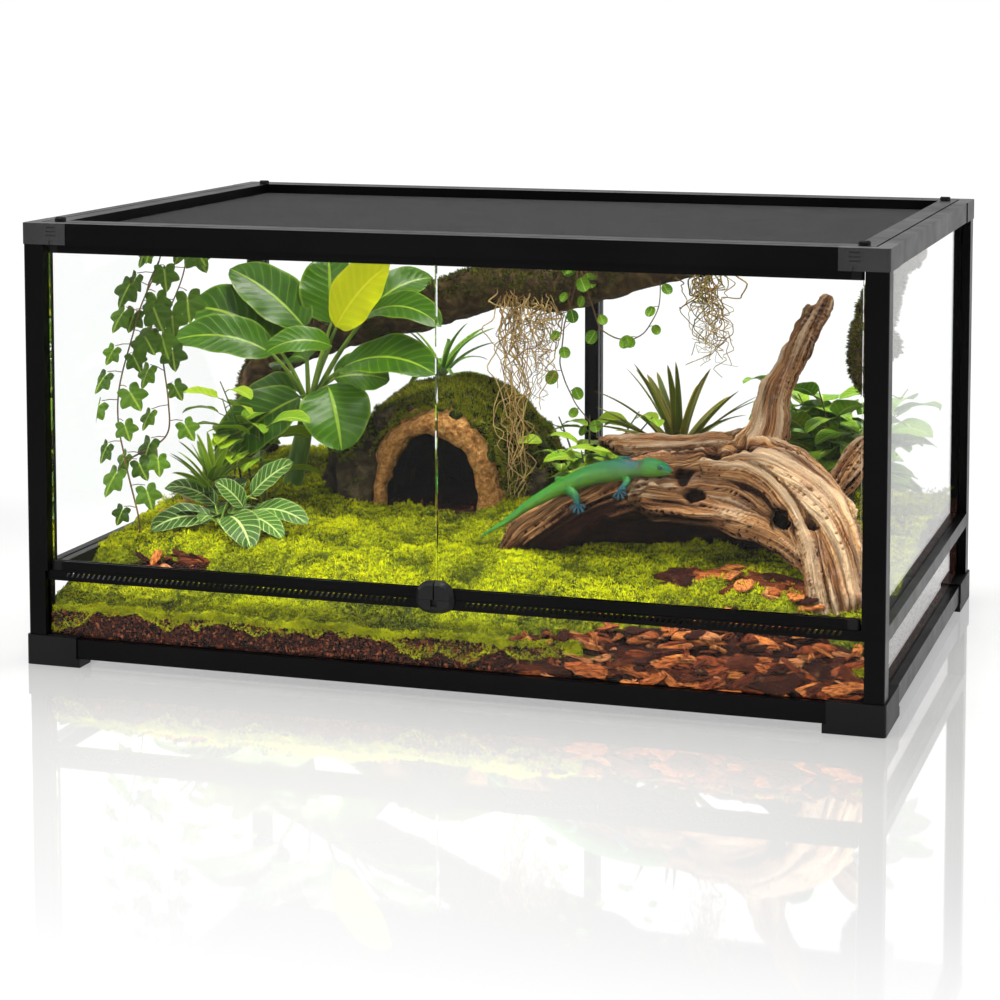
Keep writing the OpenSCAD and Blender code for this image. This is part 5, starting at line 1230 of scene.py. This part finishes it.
def fan(shape, crown, count, length, width, low, high, droop, seed, curl=0.25):
    """Narrow blades all round a crown."""
    r = np.random.default_rng(seed)
    for k in range(count):
        a = low + (high - low) * ((k * 5) % count) / count + r.normal(0, 4)
        yaw = GOLDEN * k + r.normal(0, 10)
        out = way(*np.radians([yaw, a]))
        leaf(shape, crown + out * 0.004, yaw, a, a - droop * r.uniform(0.6, 1.5),
             length * (0.75 + 0.3 * out[2] + r.uniform(-0.08, 0.1)), width * r.uniform(0.8, 1.15),
             roll=r.normal(0, 14), fold=0.45, full=0.5, curl=r.normal(0, curl), nu=5, point=0.55,
             tone=r.random())


# Rosettes: name, place, looks, stalk's heights and radii, and the fans with their lifts
ROSETTES = (
    ("striped_blades", -346, -72, ("striped_blade", "#3c6a0c", "#8fae1e", "#c9d060"),
     (-4, 20, 44), (0.0045, 0.0025),
     ((26, 22, 0.064, 0.011, 10, 86, 30, 25), (44, 12, 0.052, 0.009, 30, 88, 20, 26))),
    ("ripening_blades", -362, -86, ("ripe_blade", "#8a6a10", "#c07a18", "#d8a030"),
     None, None, ((10, 10, 0.044, 0.01, 5, 50, 30, 31),)),
    ("arching_blades", -172, 226, ("arching_blade", "#447c16", "#84ae34", "#b9d268"),
     (-4, 60, 112), (0.004, 0.004), ((112, 22, 0.082, 0.011, 20, 85, 60, 90, 0.4),)),
    ("spiky_blades", 152, 100, ("spiky_blade", "#465c14", "#8a8a26", "#b08c3c"),
     (-4, 30, 60), (0.009, 0.008),
     ((46, 40, 0.122, 0.0115, 8, 86, 34, 120, 0.2), (38, 20, 0.118, 0.011, 5, 45, 40, 121, 0.2))))
for name, x, y, colours, heights, radii, fans in ROSETTES:
    blades = Shape()
    for lift, *more in fans:
        fan(blades, on_moss(x, y, lift), *more)
    if heights:
        stalk(low_stems, on_moss(x, y, np.array(heights)), *radii)
    blades_ob = blades.make(name, blade_stripes(*colours))
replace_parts(blades_ob, "back_plants")


def sprig(leaves, twigs, foot, height, lean_yaw, lean, pairs, size, seed, width):
    """Twig with leaves up its length."""
    r = np.random.default_rng(seed)
    t = np.linspace(0, 1, 12)[:, None]
    path = (foot + np.array([0, 0, 1.0]) * height * (t - 0.15 * lean * t ** 2)
            + way(math.radians(lean_yaw)) * height * lean * t ** 1.6)
    twigs.add(*tube(path, np.linspace(0.0019, 0.0007, 12)), r.random())
    for k in range(pairs):
        at = path[int((0.3 + 0.7 * (k + 0.5) / pairs) * 11)]
        yaw = GOLDEN * k + r.normal(0, 15)
        long = size * r.uniform(0.75, 1.15)
        tip = at + (way(math.radians(yaw)) + (0, 0, 0.5)) * long * 0.22
        twigs.add(*tube([at, (at + tip) / 2 + (0, 0, 0.0006), tip], 0.0006, 4), 0.6)
        leaf(leaves, tip, yaw, r.uniform(10, 45), r.uniform(-10, 10) - 27, long, long * width,
             roll=r.normal(0, 18), wave=0.02, full=0.78, point=0.62, nu=7, nv=11, tone=r.random())


shrub, light, twigs = Shape(), Shape(), Shape()
for k in range(13):
    turn = k * GOLDEN
    foot = on_moss(334 + 9 * math.cos(turn), 130 + 9 * math.sin(turn), -3)
    sprig(shrub, twigs, foot, 0.1 + 0.07 * ((k * 5) % 7) / 7, math.degrees(turn) % 360, 0.42, 8,
          0.062, 200 + k, 0.58)
shrub.make("shrub_leaves", leaf_look("shrub_leaf", "#3c7008", "#8cb420", "#c0d070", 0.4, 9,
                                     0.022, 0.03, 0.25))
for k in range(9):
    foot = on_moss(60 + 14 * math.cos(k * 2.4), 60 + 10 * math.sin(k * 2.4), -3)
    sprig(light, twigs, foot, 0.075 + 0.05 * ((k * 3) % 5) / 5, k * GOLDEN, 0.5, 6, 0.036, 300 + k, 0.62)
for k in range(4):
    foot = on_moss(-342.0 + 10 * k, -18.0 + 6 * k, -2)
    sprig(light, twigs, foot, 0.105 + 0.025 * (k % 3), 100 + 60 * k, 0.25, 6, 0.052, 320 + k, 0.6)
light.make("light_leaves", leaf_look("light_leaf", "#5c9008", "#a0bc14", "#ccdc58", 0.42, 8,
                                     0.03, 0.02, 0.2))

# Ivy and creeper: runners in the plan
IVY = [[[-398, -150, 38], [-397, -150, 66], [-414, -150, 132], [-421, -150, 199], [-397, -150, 290],
        [-371, -150, 355], [-360, -148, 382]],
       [[-414, -142, 132], [-372, -132, 160], [-371, -130, 198], [-376, -130, 277], [-350, -132, 340],
        [-344, -136, 378], [-360, -148, 382]],
       [[-360, -148, 382], [-350, -140, 381], [-336, -134, 379], [-320, -134, 380]],
       [[-371, -150, 355], [-384, -146, 330], [-388, -144, 300], [-380, -142, 262]]]
CREEPER = [[[34, 100, 340], [28, 96, 300], [19, 95, 262], [16, 95, 220], [30, 92, 186], [54, 88, 158]],
           [[34, 100, 340], [52, 95, 292], [68, 92, 262], [100, 90, 258], [126, 92, 282], [134, 96, 326]],
           [[54, 88, 158], [66, 84, 140], [60, 80, 120]]]
# Reach of the ivy leaf's edge at angles from its tip
LOBES = ((0, 33, 62, 100, 132, 160, 180), (1.0, 0.55, 0.86, 0.5, 0.72, 0.5, 0.16))


def flat_leaf(shape, foot, facing, down, size, tone, lobed):
    """Five-lobed or round leaf: facing is its normal, down runs from foot to tip."""
    m, rings, off, half = (36, 5, 0.28, 0.62) if lobed else (18, 4, 0.4, 0.5)
    a = ring_of(m)
    n = unit(facing)
    y = unit(down - n * np.dot(down, n))
    x = np.cross(y, n)
    q = np.linspace(0.02, 1, rings)[:, None]
    out = np.interp(180 - np.abs(180 - np.degrees(a)), *LOBES) if lobed else 1
    u, w = q * out * np.sin(a) * (1 if lobed else 0.92), q * out * np.cos(a)
    lift = -0.25 * u ** 2 - 0.18 * w ** 2 + 0.05 * np.cos(a * 5) * q if lobed else 0.22 * (u ** 2 + w ** 2)
    v = foot + y * size * off + size * half * (u[..., None] * x + w[..., None] * y + lift[..., None] * n)
    shape.add(v, grid_faces(m, rings, True), pack(0.5 + 0.5 * u, 0.5 + 0.5 * w), tone)


def vine(leaves, runners, points, gap, size, radius, seed, skip, lobed):
    """Runner through plan points, with a leaf to each side in turn."""
    r = np.random.default_rng(seed)
    path = curve(plan(points), 80)
    t = np.linspace(0, 9, 80)
    path = path + 0.0022 * pack(*(noise(pack(t * k, seed * 1.7, k), 5) for k in (1.0, 1.3, 1.1)))
    runners.add(*tube(path, np.linspace(radius, radius * 0.7, 80)), 0.5)
    run = run_of(path)
    at, side = run[-1] * skip, -1
    while at < run[-1]:
        p = pack(*(np.interp(at, run, part) for part in path.T))
        out = unit([side * r.uniform(0.5, 1.0), -r.uniform(0.1, 0.7), r.uniform(-0.2, 0.5)])
        tip = p + out * size * r.uniform(0.3, 0.6)
        runners.add(*tube([p, (p + tip) / 2 + (0, 0, 0.001), tip], radius * 0.45, 4), 0.7)
        flat_leaf(leaves, tip, [side * r.uniform(0.0, 0.6), -1.0, r.uniform(0.0, 0.7)],
                  np.array([side * r.uniform(0.1, 0.7), -0.1, -1.0]), size * r.uniform(0.7, 1.15),
                  r.random(), lobed)
        at += gap * r.uniform(0.7, 1.3)
        side = -side


ivy, runners, creeping = Shape(), Shape(), Shape()
for k, (gap, skip) in enumerate(((0.0145, 0.12), (0.0145, 0.05), (0.012, 0.0), (0.016, 0.15))):
    vine(ivy, runners, IVY[k], gap * 1.35, 0.036, 0.0011, 5 + k, skip, True)
for k, line in enumerate(CREEPER):
    vine(creeping, runners, line, 0.021, 0.0165, 0.0009, 25 + k, 0.0, False)
ivy_ob = ivy.make("ivy_leaves", leaf_look("ivy_leaf", "#223e04", "#547a0c", "#90a83a", 0.42, 6,
                                          0.022, 0.03))
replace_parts(ivy_ob, "hanging_vines")
creeping.make("creeper_leaves", leaf_look("creeper_leaf", "#346804", "#7aa40c", "#b0c84c", 0.42, 5,
                                          0.025, 0.02))
runners.make("vine_stems", stem_look("vine_bark", "#4a3114", "#8a6830"))
low_stems.make("low_plant_stems", green_stem)
twigs.make("twigs", stem_look("woody_stem", "#3a4214", "#6f7a30"))


# ---------- gecko ----------

def gecko_look():
    """Flow carries the place from tail to nose, the place from belly to back, and the red band."""
    look = Look("gecko_skin", 0.45, 0.18, Coat_Weight=0.04, Coat_Roughness=0.3)
    run, high, band = look.split("flow")
    tint = look.ramp(run, (0.0, "#247430"), (0.3, "#2f7014"), (0.44, "#1c5a2e"), (0.54, "#0e444c"),
                     (0.62, "#0c5044"), (0.7, "#065a22"), (0.88, "#08601a"), (0.95, "#105656"),
                     (1.0, "#105e30"))
    tint = look.mix(look.step(high, 0.25, 0.9, 0.65, 0.0), tint, "#6a9430")
    spots = look.step(look.cells(150, jitter=0.9), 0.34, 0.42, 1.0, 0.0)
    red = look.times(look.times(spots, look.step(high, 0.55, 0.85)), band)
    tint = look.mix(red, tint, "#7c2416")
    tint = look.over(tint, "#0a4c40", look.noise(170, 3), 0.5, 0.7, 0.35)
    tint = look.over(tint, "#1c4858", look.at("tone"), 0.5, 1.0)
    return look.done(tint, look.cells(1300), 0.00035, 0.6)


def eye_look():
    look = Look("gecko_eye", 0.06, 0.7, Coat_Weight=0.8, Coat_Roughness=0.02)
    pupil = look.ramp(look.noise(900, 2), (0.3, "#050506"), (0.7, "#141012"))
    look.set(look.b, Base_Color=look.mix(look.step(look.at("tone"), 0.45, 0.62), pupil, "#2f7fae"))
    return look.m


# Place in the plan and radius along the back, and of each leg from the body to its foot
SPINE = [[-10, -118, 68, 1.3], [18, -116, 86, 3.8], [45, -114, 106, 6.4], [80, -108, 126, 9],
         [112, -104, 139, 11], [146, -104, 146, 10.8], [160, -104, 148, 8.3], [170, -104.5, 149.5, 9.9],
         [180, -105.5, 149.5, 8.8], [190, -107, 148.3, 5.6], [195, -108, 147.6, 3.2]]
LEGS = [[[146, -109, 142, 4.6], [151, -120, 136, 3.5], [144, -125, 127, 2.6]],
        [[140, -98, 146, 4.5], [133, -85, 153, 3.4], [141, -77, 153, 2.6]],
        [[84, -112, 124, 5.2], [95, -122, 119, 4], [99, -125, 109, 2.6]],
        [[80, -102, 128, 5], [67, -90, 128, 4], [73, -80, 126, 2.6]]]
TOE = (0.0015, 0.0011, 0.001, 0.001, 0.0012, 0.0016, 0.0013)
EYE_AT, EYE = 0.865, 0.0026
LEG_FLOW = (0.8, 0.7, 0.0)

skin = Shape()
# Points round the body and rings along it
m, n = 26, 120
c = curve(plan(SPINE), n)
t, _, _ = frames(c[:, :3])
s = unit(np.cross(t, [0, 0, 1.0]))
u = np.cross(s, t)
q = np.linspace(0, 1, n)
wide = (1.0 + 0.12 * np.exp(-((q - 0.83) / 0.03) ** 2)
        + 0.16 * smooth(q, 0.35, 0.6) * (1 - smooth(q, 0.6, 0.78)))
high = 0.92 - 0.14 * smooth(q, 0.84, 1.0)
a = ring_of(m)
r = np.maximum(c[:, 3], 0.0009) * (1 + 0.2 * smooth(q, 0.15, 0.45))
belly = np.sin(a) * (1 - 0.12 * (np.sin(a) < 0))
ring = (np.cos(a)[:, None] * s[:, None] * (r * wide)[:, None, None]
        + belly[:, None] * u[:, None] * (r * high)[:, None, None])
v = c[:, None, :3] + ring * (1 + 0.02 * np.cos(q * 260) * (q < 0.5))[:, None, None]
band = smooth(q, 0.5, 0.54) * (1 - smooth(q, 0.64, 0.68))
flow = pack(q[:, None], (np.sin(a) + 1) / 2, band[:, None])
tail, nose = (np.full((1, m, 3), p) for p in (c[0, :3] - t[0] * 0.001, c[-1, :3] + t[-1] * 0.0016))
skin.add(join(tail, v, nose), grid_faces(m, n + 2, True), tone=0.1,
         flow=join(flow[:1], flow, flow[-1:]))
for k, leg in enumerate(LEGS):
    path = curve(plan(leg), 16)
    skin.add(*tube(path[:, :3], path[:, 3] * np.linspace(1.2, 1.0, 16), 12)[:2],
             tone=np.repeat(np.linspace(0.3, 1, 18), 12), flow=LEG_FLOW)
    foot = path[-1, :3]
    for j in range(-2, 3):
        fall = math.radians(-80 + 38 * j + 25 * (k == 0))
        turn = (0.2 if k < 2 else 0.1) + j * 0.55 + 0.4
        d = unit([math.cos(turn), math.sin(turn), -0.3] if k % 2
                 else [math.cos(fall), -0.25, math.sin(fall)])
        toe = curve([foot, foot + d * 0.0045 + (0, 0, 0.0012), foot + d * 0.0092], 7)
        skin.add(*tube(toe, TOE, 8)[:2], tone=0.95, flow=LEG_FLOW)
skin_ob = skin.make("gecko_body", gecko_look())
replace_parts(skin_ob, "gecko")
eyes = Shape()
ball, ball_f = sphere(15, 20)
ball = ball[:, [0, 2, 1]]
k = int(EYE_AT * (n - 1))
for side in (-1, 1):
    at = c[k, :3] - s[k] * side * (r[k] * wide[k] * 0.86) + u[k] * r[k] * 0.42
    eyes.add(ball * EYE + at, ball_f, tone=1 - np.abs(ball[:, 1]))
eyes.make("gecko_eyes", eye_look())


# ---------- floor, light and camera ----------

def stage_look():
    """Pale floor that fades to white and mirrors the tank faintly in front of it."""
    look = Look("pale_floor", 0.6, 0.2)
    where = look.at()
    y = look.split("Object")[1]
    look.set(look.b, Base_Color=look.mix(look.noise(3, 2), (0.9, 0.9, 0.9), (0.93, 0.93, 0.93)))
    camera, glossy, through = (look.new("LightPath", f"Is {kind} Ray")
                               for kind in ("Camera", "Glossy", "Transmission"))
    seen = look.math("MAXIMUM", look.math("MAXIMUM", camera, glossy), through)
    far = look.new("VectorMath", 1, {"operation": "LENGTH"}, _0=where)
    lit = look.surface(look.times(seen, look.step(far, 0.45, 1.0, 0.72, 1.0)), look.b.outputs[0],
                       look.new("Emission", Color=(1, 1, 1), Strength=1.06))
    near = look.times(look.step(y, -1.2, -0.3, 0.0, 0.5), look.step(y, 0.3, 0.7, 1.0, 0.0))
    look.surface(look.times(near, camera), lit,
                 look.new("BsdfGlossy", Color=(1, 1, 1), Roughness=0.03))
    return look.m


floor_me = bpy.data.meshes.new("floor")
x, y = np.meshgrid(np.linspace(-60, 60, 7), np.linspace(-60, 60, 7))
floor_me.from_pydata(pack(x, y, -0.0006).reshape(-1, 3).tolist(), [], grid_faces(7, 7).tolist())
floor_ob = add_object("floor", floor_me)
floor_me.materials.append(stage_look())

world = bpy.data.worlds.new("studio")
bpy.context.scene.world = world
world.use_nodes = True
wt = world.node_tree
back = wt.nodes["Background"]
path = wt.nodes.new("ShaderNodeLightPath").outputs


def world_math(op, a, b):
    node = wt.nodes.new("ShaderNodeMath")
    node.operation = op
    for spot, value in zip(node.inputs, (a, b)):
        if isinstance(value, bpy.types.NodeSocket):
            wt.links.new(value, spot)
        else:
            spot.default_value = value
    return node.outputs[0]


seen = world_math("MAXIMUM", path["Is Camera Ray"], path["Is Transmission Ray"])
seen = world_math("MAXIMUM", seen, world_math("MULTIPLY", path["Is Glossy Ray"], 0.8))
wt.links.new(world_math("MAXIMUM", seen, 0.34), back.inputs["Strength"])
back.inputs["Color"].default_value = (1, 1, 1, 1)

# Lamps: name, place, aim, size, power and colour
for name, where, at, size, power, colour in (
        ("key", (-0.9, -1.9, 2.3), (0, 0, 0.15), (1.0, 0.8), 62, (1.0, 0.985, 0.955)),
        ("side", (2.6, 0.2, 1.1), (0, 0, 0.25), (1.2, 1.0), 20, (1, 1, 1)),
        ("top", (0.1, 0.05, 2.3), (0, 0, 0.1), (0.9, 0.7), 120, (1.0, 0.98, 0.93))):
    lamp = bpy.data.lights.new(name, "AREA")
    lamp.shape = "RECTANGLE"
    lamp.size, lamp.size_y = size
    lamp.energy = power
    lamp.color = colour
    lamp_ob = add_object(name, lamp)
    lamp_ob.location = where
    lamp_ob.rotation_euler = (Vector(at) - Vector(where)).to_track_quat("-Z", "Y").to_euler()
    lamp_ob.visible_camera = False

cam_data = bpy.data.cameras.new("camera")
cam = add_object("camera", cam_data)
cam.location = (0.839, -2.704, 0.7124)
cam.rotation_euler = (math.pi / 2 - 0.0843, 0, 0.3064)
cam_data.lens = 92.52
cam_data.sensor_width = 36
cam_data.shift_x = -0.0093
cam_data.shift_y = -0.2928
bpy.context.scene.camera = cam
bpy.context.scene.view_settings.view_transform = "Standard"
